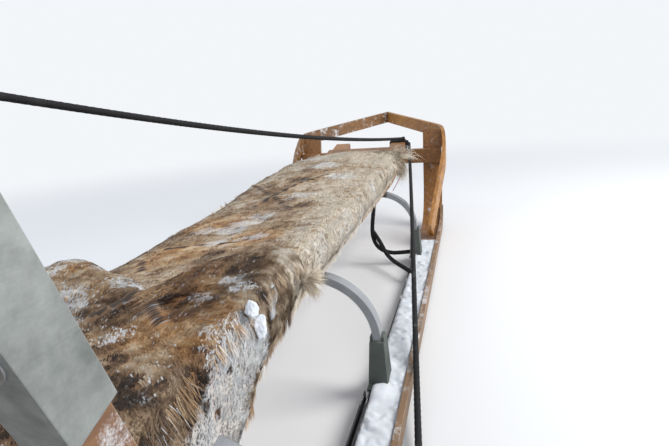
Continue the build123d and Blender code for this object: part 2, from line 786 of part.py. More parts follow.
single_pieces = [
    ("nose_beam", nose_beam(), wood),
    ("bench_slats", bench_slats(), wood),
    ("hoop_front", hoop("front"), metal),
    ("hoop_middle", hoop("middle"), metal),
    ("hoop_rear", hoop("rear"), metal),
    ("hoop_pads", both_sides([hoop_pad(name) for name in hoops]), dark),
    ("handle_bow", handle, dark),
    ("bench_crossbar", crossbar(stanchion_station, bench_crossbar_width,
                                bench_underside_z - bench_crossbar_height, bench_underside_z), wood),
    ("tail_crossbar", crossbar(tail_crossbar_station, tail_crossbar_size,
                               tail_crossbar_z - tail_crossbar_size / 2,
                               tail_crossbar_z + tail_crossbar_size / 2), wood),
    ("brake_hangers", both_sides([brake_hanger()]), iron),
    ("brake_rod", brake_rod(), metal),
    ("brake_springs", both_sides([brake_spring()]), iron),
    ("brake_frame", brake_frame(), metal),
    ("brake_claws", brake_claws(), iron),
    ("hide_front", hide("front"), hide_brown),
    ("hide_rear", hide("rear"), hide_brown),
    ("nose_lashing", nose_lashing(), dark),
    ("hand_rope", hand_rope(), dark),
    ("hook_line", cord("hook_line") - hook, dark),
    ("snow_hook", hook, iron),
    ("foot_cord", foot_line, dark),
    ("runner_cord", cord("runner_cord") - foot_line, dark),
    ("red_cord", cord("red_cord") - rail_right, red),
]

pieces = list(single_pieces)
for name, right_piece, colour in paired_pieces:
    pieces.append((f"{name}_right", right_piece, colour))
    pieces.append((f"{name}_left", left_copy(right_piece), colour))

os.makedirs("parts", exist_ok=True)
for name, piece, colour in pieces:
    piece.label = name
    piece.color = Color(*colour)
    export_step(piece, f"parts/{name}.step")
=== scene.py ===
import json
import math
import bmesh
import bpy
import numpy as np
from mathutils import Matrix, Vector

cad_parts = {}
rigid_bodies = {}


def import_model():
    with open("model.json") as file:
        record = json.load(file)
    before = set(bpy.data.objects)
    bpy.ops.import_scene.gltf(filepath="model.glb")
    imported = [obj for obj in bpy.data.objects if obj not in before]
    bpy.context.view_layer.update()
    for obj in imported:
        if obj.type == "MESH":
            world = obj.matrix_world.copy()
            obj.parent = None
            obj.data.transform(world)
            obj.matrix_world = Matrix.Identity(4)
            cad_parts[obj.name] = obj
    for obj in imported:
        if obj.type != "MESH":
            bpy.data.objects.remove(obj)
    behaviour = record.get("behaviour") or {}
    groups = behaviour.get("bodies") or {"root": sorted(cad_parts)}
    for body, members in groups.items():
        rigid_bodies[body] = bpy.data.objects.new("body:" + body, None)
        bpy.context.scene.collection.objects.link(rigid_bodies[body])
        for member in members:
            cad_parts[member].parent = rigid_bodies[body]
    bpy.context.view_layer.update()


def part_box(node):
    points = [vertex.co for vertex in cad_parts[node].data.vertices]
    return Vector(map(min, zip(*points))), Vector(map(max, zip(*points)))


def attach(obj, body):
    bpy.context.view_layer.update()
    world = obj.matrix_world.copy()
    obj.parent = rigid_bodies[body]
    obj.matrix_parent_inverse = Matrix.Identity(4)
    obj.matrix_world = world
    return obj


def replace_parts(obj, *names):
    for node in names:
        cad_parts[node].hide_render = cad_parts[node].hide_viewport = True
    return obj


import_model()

# Dog sled. Metres, X forward, Y to the left, Z up, ground at z = 0.
tipX = 1.198679    # the runner tips' place along X; a station is counted from there


def spot(station, y, z):
    return (tipX + station, y, z)


# noise, meshes and paths

def lattice(cells, seed):
    # repeatable number between 0 and 1 for each whole-number cell: the fraction of a large sine
    mixed = cells @ np.array([12.9898, 78.233, 37.719]) + seed * 4.137
    value = np.sin(mixed) * 43758.5453
    return value - np.floor(value)


def noise(points, size, seed=0):
    # smooth noise from 0 to 1 in cells of the given size: the values at a cell's eight corners, blended
    # with 3t^2 - 2t^3 along each axis
    p = np.asarray(points, float) / size
    cell = np.floor(p)
    t = p - cell
    t = t * t * (3 - 2 * t)
    total = 0
    for corner in np.ndindex(2, 2, 2):
        x, y, z = np.moveaxis(np.where(corner, t, 1 - t), -1, 0)
        total = total + x * y * z * lattice(cell + corner, seed)
    return total


def cloudy(points, size, seed=0):
    # three octaves of the smooth noise, weights 4, 2 and 1
    return (4 * noise(points, size, seed) + 2 * noise(points, size / 2.1, seed + 7)
            + noise(points, size / 4.3, seed + 13)) / 7


def unit(v):
    return v / np.maximum(np.linalg.norm(v, axis=-1, keepdims=True), 1e-9)


def smooth(x, low, high):
    # 0 below low, 1 above high, 3t^2 - 2t^3 between
    t = np.clip((x - low) / (high - low), 0, 1)
    return t * t * (3 - 2 * t)


def makeMesh(name, points, faces, finish, slot=None, uv=None, marks=None, flat=False):
    # a piece of the sled from points and arrays of faces; marks are values at its points
    mesh = bpy.data.meshes.new(name)
    points = np.ascontiguousarray(points, dtype=np.float32).reshape(-1, 3)
    faces = [np.asarray(f, dtype=np.int32) for f in faces if len(f)]
    counts = np.concatenate([np.full(len(f), f.shape[1], np.int32) for f in faces])
    corners = np.concatenate([f.ravel() for f in faces])
    starts = np.concatenate([[0], np.cumsum(counts)[:-1]]).astype(np.int32)
    mesh.vertices.add(len(points))
    mesh.vertices.foreach_set("co", points.ravel())
    mesh.loops.add(len(corners))
    mesh.loops.foreach_set("vertex_index", corners)
    mesh.polygons.add(len(counts))
    mesh.polygons.foreach_set("loop_start", starts)
    mesh.polygons.foreach_set("loop_total", counts)
    mesh.polygons.foreach_set("use_smooth", np.full(len(counts), not flat))
    mesh.update(calc_edges=True)
    if uv is not None:
        layer = mesh.uv_layers.new(name="UVMap")
        layer.data.foreach_set("uv", np.asarray(uv, np.float32)[corners].ravel())
    for key, values in (marks or {}).items():
        mark = mesh.attributes.new(key, "FLOAT", "POINT")
        mark.data.foreach_set("value", np.asarray(values, np.float32).ravel())
    mesh.validate()
    piece = bpy.data.objects.new(name, mesh)
    bpy.context.scene.collection.objects.link(piece)
    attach(piece, "sled")
    mesh.materials.append(finish)
    return piece


def gridFaces(rows, cols, closeCols=False, closeRows=False):
    # quads of a grid of points numbered row by row, outward when rows x cols turn right-handed
    r = np.arange(rows if closeRows else rows - 1)[:, None]
    c = np.arange(cols if closeCols else cols - 1)[None]
    nextR, nextC = (r + 1) % rows, (c + 1) % cols
    corners = [r * cols + c, r * cols + nextC, nextR * cols + nextC, nextR * cols + c]
    return np.stack(corners, -1).reshape(-1, 4)


def capFaces(ring, centre):
    # triangles from a ring of point numbers to one centre point
    return np.stack([ring, np.roll(ring, -1), np.full(len(ring), centre)], -1)


def lengthsAlong(path):
    # how far each point of a path is from its start, along it
    return np.concatenate([[0], np.cumsum(np.linalg.norm(np.diff(path, axis=0), axis=1))])


def pathFrames(path):
    # two side vectors carried along a path without twist
    tangent = unit(np.gradient(path, axis=0))
    side = np.empty_like(path)
    start = np.cross(tangent[0], [0, 0, 1.0])
    if np.linalg.norm(start) < 0.2:
        start = np.cross(tangent[0], [0, 1.0, 0])
    side[0] = start / np.linalg.norm(start)
    for i in range(1, len(path)):
        carried = side[i - 1] - tangent[i] * np.dot(side[i - 1], tangent[i])
        side[i] = carried / np.linalg.norm(carried)
    return side, np.cross(tangent, side)


def tube(path, radius, sides=12, strands=6, pitch=0.016, relief=0.10):
    # p + r(cos a * side + sin a * up), with r raised along two crossing sets of strands:
    # r = radius (1 - relief + relief * max(|cos(n a/2 + k s)|, |cos(n a/2 - k s)|))
    side, up = pathFrames(path)
    along = lengthsAlong(path)
    angle = np.linspace(0, 2 * math.pi, sides, endpoint=False)
    r = np.full((len(path), sides), radius)
    if strands:
        k = math.pi / pitch
        first = np.abs(np.cos(strands * angle[None] / 2 + k * along[:, None]))
        second = np.abs(np.cos(strands * angle[None] / 2 - k * along[:, None]))
        r = r * (1 - relief + relief * np.maximum(first, second))
    points = (path[:, None] + r[..., None] * (np.cos(angle)[None, :, None] * side[:, None]
                                              + np.sin(angle)[None, :, None] * up[:, None]))
    n = len(path)
    every = np.concatenate([points.reshape(-1, 3), path[:1], path[-1:]])
    first = np.arange(sides)
    faces = [gridFaces(n, sides, True)[:, ::-1], capFaces(first, n * sides),
             capFaces((n - 1) * sides + first[::-1], n * sides + 1)]
    uvSide = np.stack(np.broadcast_arrays(angle[None] / (2 * math.pi), along[:, None]), -1).reshape(-1, 2)
    uv = np.concatenate([uvSide, [[0.5, 0]], [[0.5, along[-1]]]])
    return every, faces, uv


def joined(shapes):
    # several (points, faces, uv) sets as one
    points, faceSets, uvs = zip(*shapes)
    starts = np.cumsum([0] + [len(p) for p in points])
    faces = [f + start for faceSet, start in zip(faceSets, starts) for f in faceSet]
    return np.concatenate(points), faces, np.concatenate(uvs)


def routeLine(points, finest):
    # the smooth line of a NURBS spline whose control points are the route's own
    curve = bpy.data.curves.new("route", "CURVE")
    curve.dimensions = "3D"
    spline = curve.splines.new("NURBS")
    spline.points.add(len(points) - 1)
    for point, place in zip(spline.points, points):
        point.co = (*place, 1)
    spline.order_u = 3
    spline.use_endpoint_u = True
    spline.resolution_u = finest
    holder = bpy.data.objects.new("route", curve)
    mesh = bpy.data.meshes.new_from_object(holder)
    line = np.empty(len(mesh.vertices) * 3, np.float32)
    mesh.vertices.foreach_get("co", line)
    bpy.data.meshes.remove(mesh)
    bpy.data.objects.remove(holder)
    bpy.data.curves.remove(curve)
    return line.reshape(-1, 3).astype(float)


# tools for materials

class Wire:
    # a socket's value, on which arithmetic adds Math nodes
    def __init__(self, shade, socket):
        self.shade, self.socket = shade, socket

    def calc(self, operation, *others, clamp=False):
        return self.shade.node("ShaderNodeMath", {"operation": operation, "use_clamp": clamp},
                               dict(enumerate((self, *others))))

    def __add__(self, other):
        return self.calc("ADD", other)

    def __sub__(self, other):
        return self.calc("SUBTRACT", other)

    def __rsub__(self, other):
        return self.shade.node("ShaderNodeMath", {"operation": "SUBTRACT"}, {0: other, 1: self})

    def __mul__(self, other):
        return self.calc("MULTIPLY", other)

    __radd__, __rmul__ = __add__, __mul__

    def held(self):
        # cut off below 0 and above 1
        return self.calc("MULTIPLY", 1, clamp=True)

    def between(self, low, high):
        # 0 below low, 1 above high, smooth between
        return self.shade.node("ShaderNodeMapRange", {"interpolation_type": "SMOOTHSTEP", "clamp": True},
                               {0: self, 1: low, 2: high, 3: 0, 4: 1})


class Shade:
    # one material and the tools to wire it
    def __init__(self, name, **fixed):
        self.material = bpy.data.materials.new(name)
        self.material.use_nodes = True
        self.tree = self.material.node_tree
        self.tree.nodes.clear()
        self.surface = self.tree.nodes.new("ShaderNodeBsdfPrincipled")
        self.out = self.tree.nodes.new("ShaderNodeOutputMaterial")
        self.tree.links.new(self.surface.outputs[0], self.out.inputs[0])
        for key, value in fixed.items():
            self.surface.inputs[key.replace("_", " ")].default_value = value
        self.place = self.node("ShaderNodeTexCoord", output="Object")

    def node(self, kind, settings=None, inputs=None, output=0):
        made = self.tree.nodes.new(kind)
        for key, value in (settings or {}).items():
            if key == "stops":
                ramp = made.color_ramp
                while len(ramp.elements) < len(value):
                    ramp.elements.new(0.5)
                for element, (position, colour) in zip(ramp.elements, value):
                    element.position = position
                    element.color = (*colour, 1)
            else:
                setattr(made, key, value)
        for key, value in (inputs or {}).items():
            if isinstance(value, Wire):
                self.tree.links.new(value.socket, made.inputs[key])
            else:
                made.inputs[key].default_value = value
        return Wire(self, made.outputs[output])

    def set(self, **wires):
        for key, value in wires.items():
            self.tree.links.new(value.socket, self.surface.inputs[key.replace("_", " ")])

    def stretched(self, scale, turn=(0, 0, 0)):
        return self.node("ShaderNodeMapping", {}, {"Vector": self.place, "Scale": scale, "Rotation": turn})

    def grains(self, scale, detail=3.0, rough=0.55, base=None, twist=0.0):
        return self.node("ShaderNodeTexNoise", {}, {"Vector": base or self.place, "Scale": scale,
                                                    "Detail": detail, "Roughness": rough,
                                                    "Distortion": twist})

    def mix(self, low, high, factor):
        # colour between two colours or wires
        return self.node("ShaderNodeMix", {"data_type": "RGBA"}, {
            0: factor, 6: low if isinstance(low, Wire) else (*low, 1),
            7: high if isinstance(high, Wire) else (*high, 1)}, output=2)

    def ramp(self, value, stops):
        return self.node("ShaderNodeValToRGB", {"stops": stops}, {0: value})

    def upward(self):
        # how much the surface faces up, from the geometry's own normal
        normal = self.node("ShaderNodeNewGeometry", output="Normal")
        return self.node("ShaderNodeSeparateXYZ", {}, {0: normal}, output=2)

    def mark(self, name):
        return self.node("ShaderNodeAttribute", {"attribute_name": name}, output="Fac")

    def rounded(self, radius):
        # the normal that a softly rounded edge would have, and how worn an edge is: 1 - n.b
        soft = self.node("ShaderNodeBevel", {"samples": 6}, {0: radius})
        hard = self.node("ShaderNodeNewGeometry", output="Normal")
        dot = self.node("ShaderNodeVectorMath", {"operation": "DOT_PRODUCT"}, {0: soft, 1: hard}, output=1)
        return soft, (1 - dot)

    def bump(self, height, strength, distance, normal=None):
        inputs = {"Strength": strength, "Distance": distance, "Height": height}
        if normal:
            inputs["Normal"] = normal
        self.set(Normal=self.node("ShaderNodeBump", {}, inputs))


# camera, floor and light

view = {"place": spot(-2.5648, -0.4842, 0.6451), "yaw": 15.37, "pitch": 13.72, "roll": 4.42,
        "focalPixels": 510.55, "framePixels": 669, "sensor": 36, "nearest": 0.02}


def setCamera():
    # forward f from yaw and pitch; right and down are level ones turned by the roll about f
    yaw, pitch, roll = (math.radians(view[k]) for k in ("yaw", "pitch", "roll"))
    f = np.array([math.cos(pitch) * math.cos(yaw), math.cos(pitch) * math.sin(yaw), -math.sin(pitch)])
    level = np.array([math.sin(yaw), -math.cos(yaw), 0.0])
    under = np.cross(f, level)
    right = math.cos(roll) * level + math.sin(roll) * under
    down = -math.sin(roll) * level + math.cos(roll) * under
    data = bpy.data.cameras.new("camera")
    data.sensor_width = view["sensor"]
    data.lens = view["focalPixels"] / view["framePixels"] * view["sensor"]
    data.clip_start = view["nearest"]
    camera = bpy.data.objects.new("camera", data)
    bpy.context.scene.collection.objects.link(camera)
    columns = np.column_stack([right, -down, -f, view["place"]])
    camera.matrix_world = Matrix([*columns.tolist(), [0, 0, 0, 1]])
    bpy.context.scene.camera = camera


light = {"key": {"place": (0.3, -3.6, 3.4), "size": 3.0, "power": 190, "colour": (1.0, 0.97, 0.92)},
         "fill": {"place": (-2.5, 3.5, 3.0), "size": 3.0, "power": 50, "colour": (0.88, 0.93, 1.0)},
         "aim": (0, 0, 0.3), "sky": (0.86, 0.92, 1.0), "skyStrength": 0.62, "background": (0.90, 0.92, 0.95)}
ground = {"colour": (0.86, 0.87, 0.89), "half": 40.0, "drop": 0.0005, "fade": (1.6, 5.5)}


def addLamp(name):
    # a round area lamp whose own z axis points away from the sled
    facts = light[name]
    data = bpy.data.lights.new(name, "AREA")
    data.shape = "DISK"
    data.size = facts["size"]
    data.energy = facts["power"]
    data.color = facts["colour"]
    lamp = bpy.data.objects.new(name, data)
    bpy.context.scene.collection.objects.link(lamp)
    lamp.location = facts["place"]
    z = unit(np.array(facts["place"]) - light["aim"])
    x = unit(np.cross([0, 0, 1.0], z))
    lamp.rotation_euler = Matrix(np.column_stack([x, np.cross(z, x), z]).tolist()).to_euler()


def setSky():
    # the background's tone for rays from the camera, mirrors and glass, soft blue light for the others
    world = bpy.data.worlds.new("sky")
    bpy.context.scene.world = world
    world.use_nodes = True
    tree = world.node_tree
    tree.nodes.clear()
    seen = tree.nodes.new("ShaderNodeBackground")
    seen.inputs[0].default_value = (*light["background"], 1)
    ambient = tree.nodes.new("ShaderNodeBackground")
    ambient.inputs[0].default_value = (*light["sky"], 1)
    ambient.inputs[1].default_value = light["skyStrength"]
    rays = tree.nodes.new("ShaderNodeLightPath")
    direct = rays.outputs["Is Camera Ray"]
    for kind in ("Is Glossy Ray", "Is Transmission Ray"):
        most = tree.nodes.new("ShaderNodeMath")
        most.operation = "MAXIMUM"
        tree.links.new(direct, most.inputs[0])
        tree.links.new(rays.outputs[kind], most.inputs[1])
        direct = most.outputs[0]
    choose = tree.nodes.new("ShaderNodeMixShader")
    out = tree.nodes.new("ShaderNodeOutputWorld")
    for index, socket in enumerate((direct, ambient.outputs[0], seen.outputs[0])):
        tree.links.new(socket, choose.inputs[index])
    tree.links.new(choose.outputs[0], out.inputs[0])


def floorFinish():
    # pale and dull near the sled; with distance it turns, for the camera's rays, into the background's tone
    shade = Shade("paleFloor", Roughness=0.9, Base_Color=(*ground["colour"], 1))
    away = shade.node("ShaderNodeVectorMath", {"operation": "LENGTH"}, {0: shade.place}, output=1)
    seen = shade.node("ShaderNodeLightPath", output="Is Camera Ray")
    far = shade.node("ShaderNodeEmission", {}, {0: (*light["background"], 1), 1: 1.0})
    plain = Wire(shade, shade.surface.outputs[0])
    blend = shade.node("ShaderNodeMixShader", {},
                       {0: away.between(*ground["fade"]) * seen, 1: plain, 2: far})
    shade.tree.links.new(blend.socket, shade.out.inputs[0])
    return shade.material


def addFloor():
    half, low = ground["half"], -ground["drop"]
    mesh = bpy.data.meshes.new("floor")
    mesh.from_pydata([(-half, -half, low), (half, -half, low), (half, half, low), (-half, half, low)], [],
                     [[0, 1, 2, 3]])
    floor = bpy.data.objects.new("floor", mesh)
    bpy.context.scene.collection.objects.link(floor)
    mesh.materials.append(floorFinish())


setCamera()
addLamp("key")
addLamp("fill")
setSky()
addFloor()
bpy.context.scene.view_settings.view_transform = "Standard"
print("camera and studio done")


# finishes

def frosted(shade, colour, amount, size=9.0, flatOnly=True, seed=0.0):
    # white rime where noise passes a limit, mostly on faces that look up
    cloud = shade.grains(size, 5, 0.65, base=shade.stretched((1, 1, 1), (0, 0, seed)))
    cover = cloud * 0.72 + shade.grains(size * 22, 4, 0.7) * 0.28
    if flatOnly:
        cover = cover * (shade.upward().between(0.1, 0.95) * 0.75 + 0.25)
    mask = cover.between(0.62 - 0.25 * amount, 0.80 - 0.25 * amount)
    return shade.mix(colour, (0.86, 0.89, 0.93), mask * 0.92), mask


def woodFinish(name, dark, pale, gloss, frost, turn=(0, 0, 0), seed=0.0, frostSize=9.0):
    # long streaks: noise on coordinates squeezed along the grain, mixed from dark to light, blotches from a
    # second slow noise, worn paler at the edges; rime in small patches lies on all sides
    shade = Shade(name)
    long = shade.stretched((1.2, 26, 26), turn)
    streak = shade.grains(3.2, 6, 0.62, base=long, twist=0.6)
    fibre = shade.grains(11, 5, 0.7, base=shade.stretched((3.0, 120, 120), turn))
    blotch = shade.grains(2.3 + seed, 3)
    value = (streak * 0.62 + fibre * 0.22 + blotch * 0.30 - 0.10).held()
    middle = tuple((a + b) / 2 for a, b in zip(dark, pale))
    colour = shade.ramp(value, [(0.30, dark), (0.50, middle), (0.70, pale)])
    soft, edge = shade.rounded(0.0022)
    wear = (edge.between(0.02, 0.25) * shade.grains(38, 4).between(0.36, 0.62)).held()
    colour = shade.mix(colour, (0.55, 0.42, 0.28), wear * 0.8)
    grime = shade.grains(6.5, 5, 0.6).between(0.52, 0.75)
    colour = shade.mix(colour, tuple(c * 0.35 for c in dark), grime * 0.45)
    colour, mask = frosted(shade, colour, frost, frostSize, frostSize < 20, seed)
    shade.set(Base_Color=colour, Roughness=(fibre * 0.25 + (gloss - 0.10) + mask * 0.35).held())
    shade.bump(fibre * 0.6 + streak * 0.4, 0.35, 0.0010, soft)
    return shade.material


def metalFinish(name, low, high, rough, metallic, turn=(0, 0, 0), spangle=0.0, frost=0.0, dirt=0.3,
                cloudSize=9.0, streaks=0.3):
    # drawn or zinc-coated metal: cloudy tone, long scratches, dull dirt in patches, bright worn edges,
    # and the small flakes of zinc as cells of their own tone
    shade = Shade(name)
    cloud = shade.grains(cloudSize, 5, 0.65)
    scratch = shade.grains(14, 4, 0.6, base=shade.stretched((2, 2, 60), turn))
    value = cloud * (1 - streaks) + scratch * streaks
    if spangle:
        cell = shade.node("ShaderNodeTexVoronoi", {}, {"Vector": shade.place, "Scale": 110.0}, output="Color")
        tone = shade.node("ShaderNodeSeparateColor", {}, {0: cell})
        value = value * (1 - spangle) + tone * spangle
    colour = shade.ramp(value.held(), [(0.25, low), (0.75, high)])
    soft, edge = shade.rounded(0.0015)
    colour = shade.mix(colour, tuple(min(1, c * 1.35) for c in high), edge.between(0.03, 0.3) * 0.5)
    stain = shade.grains(5, 6, 0.65).between(0.52, 0.74)
    colour = shade.mix(colour, (0.16, 0.14, 0.12), stain * dirt)
    metal = 1 - stain * dirt * 1.5
    if frost:
        colour, mask = frosted(shade, colour, frost)
        metal = metal * (1 - mask)
    shade.set(Base_Color=colour, Metallic=(metal * metallic).held(),
              Roughness=(scratch * 0.25 + cloud * 0.15 + (rough - 0.2)).held())
    shade.bump(scratch * 0.5 + cloud * 0.5, 0.25, 0.0006, soft)
    return shade.material


def mouldedFinish(name, tone, rough, frost=0.0):
    # moulded plastic or rubber: fine pebbling, scuffs, pale dust on edges
    shade = Shade(name)
    fine = shade.grains(160, 3)
    scuff = shade.grains(26, 5, 0.65, base=shade.stretched((0.4, 3, 3)))
    soft, edge = shade.rounded(0.0018)
    colour = shade.mix(tone, tuple(min(1, c * 2.4 + 0.05) for c in tone),
                       (scuff.between(0.5, 0.78) * 0.6 + edge.between(0.03, 0.3) * 0.4).held())
    if frost:
        colour = frosted(shade, colour, frost)[0]
    shade.set(Base_Color=colour, Roughness=(fine * 0.2 + scuff * 0.2 + (rough - 0.2)).held())
    shade.bump(fine * 0.7 + scuff * 0.3, 0.3, 0.0004, soft)
    return shade.material


def ropeFinish(name, tone, pale, strands=8, pitch=0.012, frost=0.0):
    # braid from the piece's own UV: v is metres along, u once round; two crossing sets of waves
    shade = Shade(name, Roughness=0.75, Specular_IOR_Level=0.2)
    uv = shade.node("ShaderNodeUVMap", {"uv_map": "UVMap"})
    around, along = (shade.node("ShaderNodeSeparateXYZ", {}, {0: uv}, output=k) for k in (0, 1))
    around, along = around * (math.pi * strands), along * (math.pi * 2 / pitch)
    first, second = (wave.calc("SINE").calc("ABSOLUTE") for wave in (around + along, around - along))
    ridge = first.calc("MAXIMUM", second)
    fuzz = shade.grains(420, 3)
    worn = shade.grains(30, 4).between(0.5, 0.75)
    colour = shade.mix(tone, pale, (ridge * 0.5 + fuzz * 0.4 + worn * 0.4 - 0.25).held())
    if frost:
        colour = frosted(shade, colour, frost, 30)[0]
    shade.set(Base_Color=colour)
    shade.bump(ridge * 0.8 + fuzz * 0.2, 0.6, 0.0012)
    return shade.material


bowTurn = math.radians(31.5)
finishes = {
    "strip": woodFinish("stripWood", (0.13, 0.070, 0.036), (0.40, 0.250, 0.140), 0.5, 0.55, seed=0.6),
    "bench": woodFinish("benchWood", (0.14, 0.060, 0.022), (0.46, 0.225, 0.080), 0.45, 0.15, seed=0.4),
    "board": woodFinish("boardWood", (0.085, 0.040, 0.022), (0.27, 0.135, 0.070), 0.45, 0.75, seed=0.9),
    "tip": woodFinish("tipWood", (0.075, 0.028, 0.008), (0.40, 0.175, 0.042), 0.45, 0.28,
                      (0, math.radians(79), 0), seed=0.2, frostSize=22),
    # the bow is one wood in two copies: the right strip painted lit, bright orange, and the left strip
    # painted shaded, dark brown
    "bowRight": woodFinish("bowWoodRightLit", (0.18, 0.068, 0.015), (0.64, 0.310, 0.080), 0.45, 0.18,
                           (0, 0, -bowTurn), seed=0.5, frostSize=30),
    "bowLeft": woodFinish("bowWoodLeftShaded", (0.070, 0.034, 0.015), (0.34, 0.175, 0.070), 0.45, 0.42,
                          (0, 0, bowTurn), seed=0.7, frostSize=28),
    "upright": woodFinish("uprightWood", (0.13, 0.050, 0.014), (0.50, 0.235, 0.065), 0.42, 0.06,
                          (0, math.radians(90), 0)),
    "crossbar": woodFinish("crossbarWood", (0.090, 0.034, 0.010), (0.38, 0.170, 0.045), 0.45, 0.25,
                           (0, 0, math.radians(90)), seed=0.3),
    "stay": woodFinish("stayWood", (0.11, 0.045, 0.018), (0.36, 0.165, 0.060), 0.42, 0.34,
                       (0, math.radians(70), 0), frostSize=26),
    "hoop": metalFinish("hoopMetal", (0.22, 0.23, 0.25), (0.44, 0.46, 0.48), 0.46, 0.45, frost=0.10,
                        dirt=0.35),
    "channel": metalFinish("channelMetal", (0.12, 0.135, 0.128), (0.40, 0.42, 0.405), 0.58, 0.25,
                           (0, math.radians(70), 0), spangle=0.04, dirt=0.5, cloudSize=34, streaks=0.12),
    "foot": metalFinish("footMetal", (0.060, 0.072, 0.066), (0.16, 0.18, 0.165), 0.6, 0.5, frost=0.3),
    "steel": metalFinish("brakeMetal", (0.24, 0.24, 0.25), (0.46, 0.46, 0.47), 0.45, 0.85, dirt=0.5),
    "sole": mouldedFinish("solePlastic", (0.045, 0.046, 0.05), 0.42),
    "strap": mouldedFinish("edgePlastic", (0.022, 0.022, 0.024), 0.5, frost=0.3),
    "rubber": mouldedFinish("treadRubber", (0.028, 0.028, 0.030), 0.75, frost=0.25),
    "rope": ropeFinish("blackRope", (0.006, 0.006, 0.007), (0.032, 0.032, 0.035)),
    "frostRope": ropeFinish("frostedRope", (0.006, 0.006, 0.007), (0.036, 0.036, 0.040), frost=0.2),
    "red": ropeFinish("redCord", (0.30, 0.012, 0.012), (0.60, 0.06, 0.05), 6, 0.006),
}

# which nodes of the CAD model take each finish; a star stands for the right and the left one
wearers = {
    "strip": ["runner_strip*"], "board": ["runner_board*"], "tip": ["runner_tip*"], "bench": ["bench_rail*"],
    "bowRight": ["bow_right"], "bowLeft": ["bow_left"], "upright": ["stanchion*"], "stay": ["stay*"],
    "crossbar": ["nose_beam", "bench_crossbar", "tail_crossbar", "bench_slats"],
    "hoop": ["hoop_front", "hoop_middle", "hoop_rear"], "foot": ["hoop_feet*"], "channel": ["stay_channel*"],
    "steel": ["brake_hangers", "brake_rod", "brake_frame", "brake_claws", "snow_hook"],
    "sole": ["runner_sole*"], "strap": ["edge_channel*", "handle_bow"],
    "rubber": ["footboard_tread*", "hoop_pads"],
}
for key, names in wearers.items():
    for name in names:
        for side in ("_right", "_left"):
            mesh = bpy.data.objects[name.replace("*", side)].data
            mesh.materials.clear()
            mesh.materials.append(finishes[key])
print("finishes done")


# cords: their routes are the CAD ones, in metres

cords = {
    "hookLine": {"node": "hook_line", "diameter": 0.014, "finish": "frostRope", "slot": "black_rope",
                 "lay": "taut", "far": "fitting", "with": ["snow_hook"], "stiffness": "limp", "finest": 200,
                 "points": [(0.008, -0.193, 0.399), (-0.650, -0.269, 0.266), (-1.730, -0.3845, 0.007),
                            (-1.895, -0.403, 0.007)]},
    "footCord": {"node": "foot_cord", "diameter": 0.016, "finish": "rope", "slot": "black_rope",
                 "lay": "hanging", "far": "object", "with": [], "stiffness": "limp", "finest": 24,
                 "points": [(-0.692, -0.138, 0.287), (-0.692, -0.117, 0.159), (-0.692, -0.119, 0.106),
                            (-0.691, -0.138, 0.067), (-0.689, -0.182, 0.048), (-0.686, -0.226, 0.049),
                            (-0.683, -0.267, 0.053)]},
    "runnerCord": {"node": "runner_cord", "diameter": 0.016, "finish": "rope", "slot": "black_rope",
                   "lay": "hanging", "far": "object", "with": [], "stiffness": "limp", "finest": 20,
                   "points": [(-0.693, -0.118, 0.140), (-0.697, -0.139, 0.110), (-0.707, -0.157, 0.079),
                              (-0.732, -0.177, 0.054), (-0.776, -0.204, 0.047), (-0.832, -0.242, 0.045),
                              (-0.893, -0.286, 0.044)]},
    "redCord": {"node": "red_cord", "diameter": 0.0032, "finish": "red", "slot": "red_cord",
                "lay": "hanging", "far": "bare", "with": [], "stiffness": "medium", "finest": 20,
                "points": [(-0.100, -0.174, 0.359), (-0.100, -0.177, 0.304), (-0.100, -0.157, 0.250),
                           (-0.100, -0.131, 0.205), (-0.099, -0.116, 0.180)]},
}


def addCord(name, facts):
    # a braided tube along the route's spline
    route = [spot(*p) for p in facts["points"]]
    line = routeLine(route, facts["finest"])
    points, faces, uv = tube(line, facts["diameter"] / 2)
    piece = makeMesh(name, points, faces, finishes[facts["finish"]], facts["slot"], uv)
    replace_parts(piece, facts["node"])


for name, facts in cords.items():
    addCord(name, facts)
print("cords done")


# hides: skins as sheets over the bench, with hair in pieces of its own

def splineRows(control, count):
    # uniform cubic B-spline along the first axis, its ends held by repeating them:
    # ((1-f)^3, 3f^3-6f^2+4, -3f^3+3f^2+3f+1, f^3)/6 times four neighbours
    held = np.concatenate([control[:1]] * 2 + [control] + [control[-1:]] * 2)
    t = np.linspace(0, len(held) - 3 - 1e-9, count)
    cell = np.floor(t).astype(int)
    f = t - cell
    weights = np.stack([(1 - f) ** 3, 3 * f ** 3 - 6 * f ** 2 + 4, -3 * f ** 3 + 3 * f ** 2 + 3 * f + 1,
                        f ** 3], -1) / 6
    return sum(weights[:, k].reshape(-1, *[1] * (control.ndim - 1)) * held[cell + k] for k in range(4))


def gridNormals(grid):
    # cross product of the two directions of the grid
    return unit(np.cross(np.gradient(grid, axis=1), np.gradient(grid, axis=0)))


def pick(grid, u, v):
    # a point of the grid at row share u and column share v, mixed from its four corners
    rows, cols = grid.shape[:2]
    a, b = u * (rows - 1), v * (cols - 1)
    i, j = np.minimum(a.astype(int), rows - 2), np.minimum(b.astype(int), cols - 2)
    a, b = (a - i)[:, None], (b - j)[:, None]
    return ((1 - a) * (1 - b) * grid[i, j] + (1 - a) * b * grid[i, j + 1]
            + a * (1 - b) * grid[i + 1, j] + a * b * grid[i + 1, j + 1])


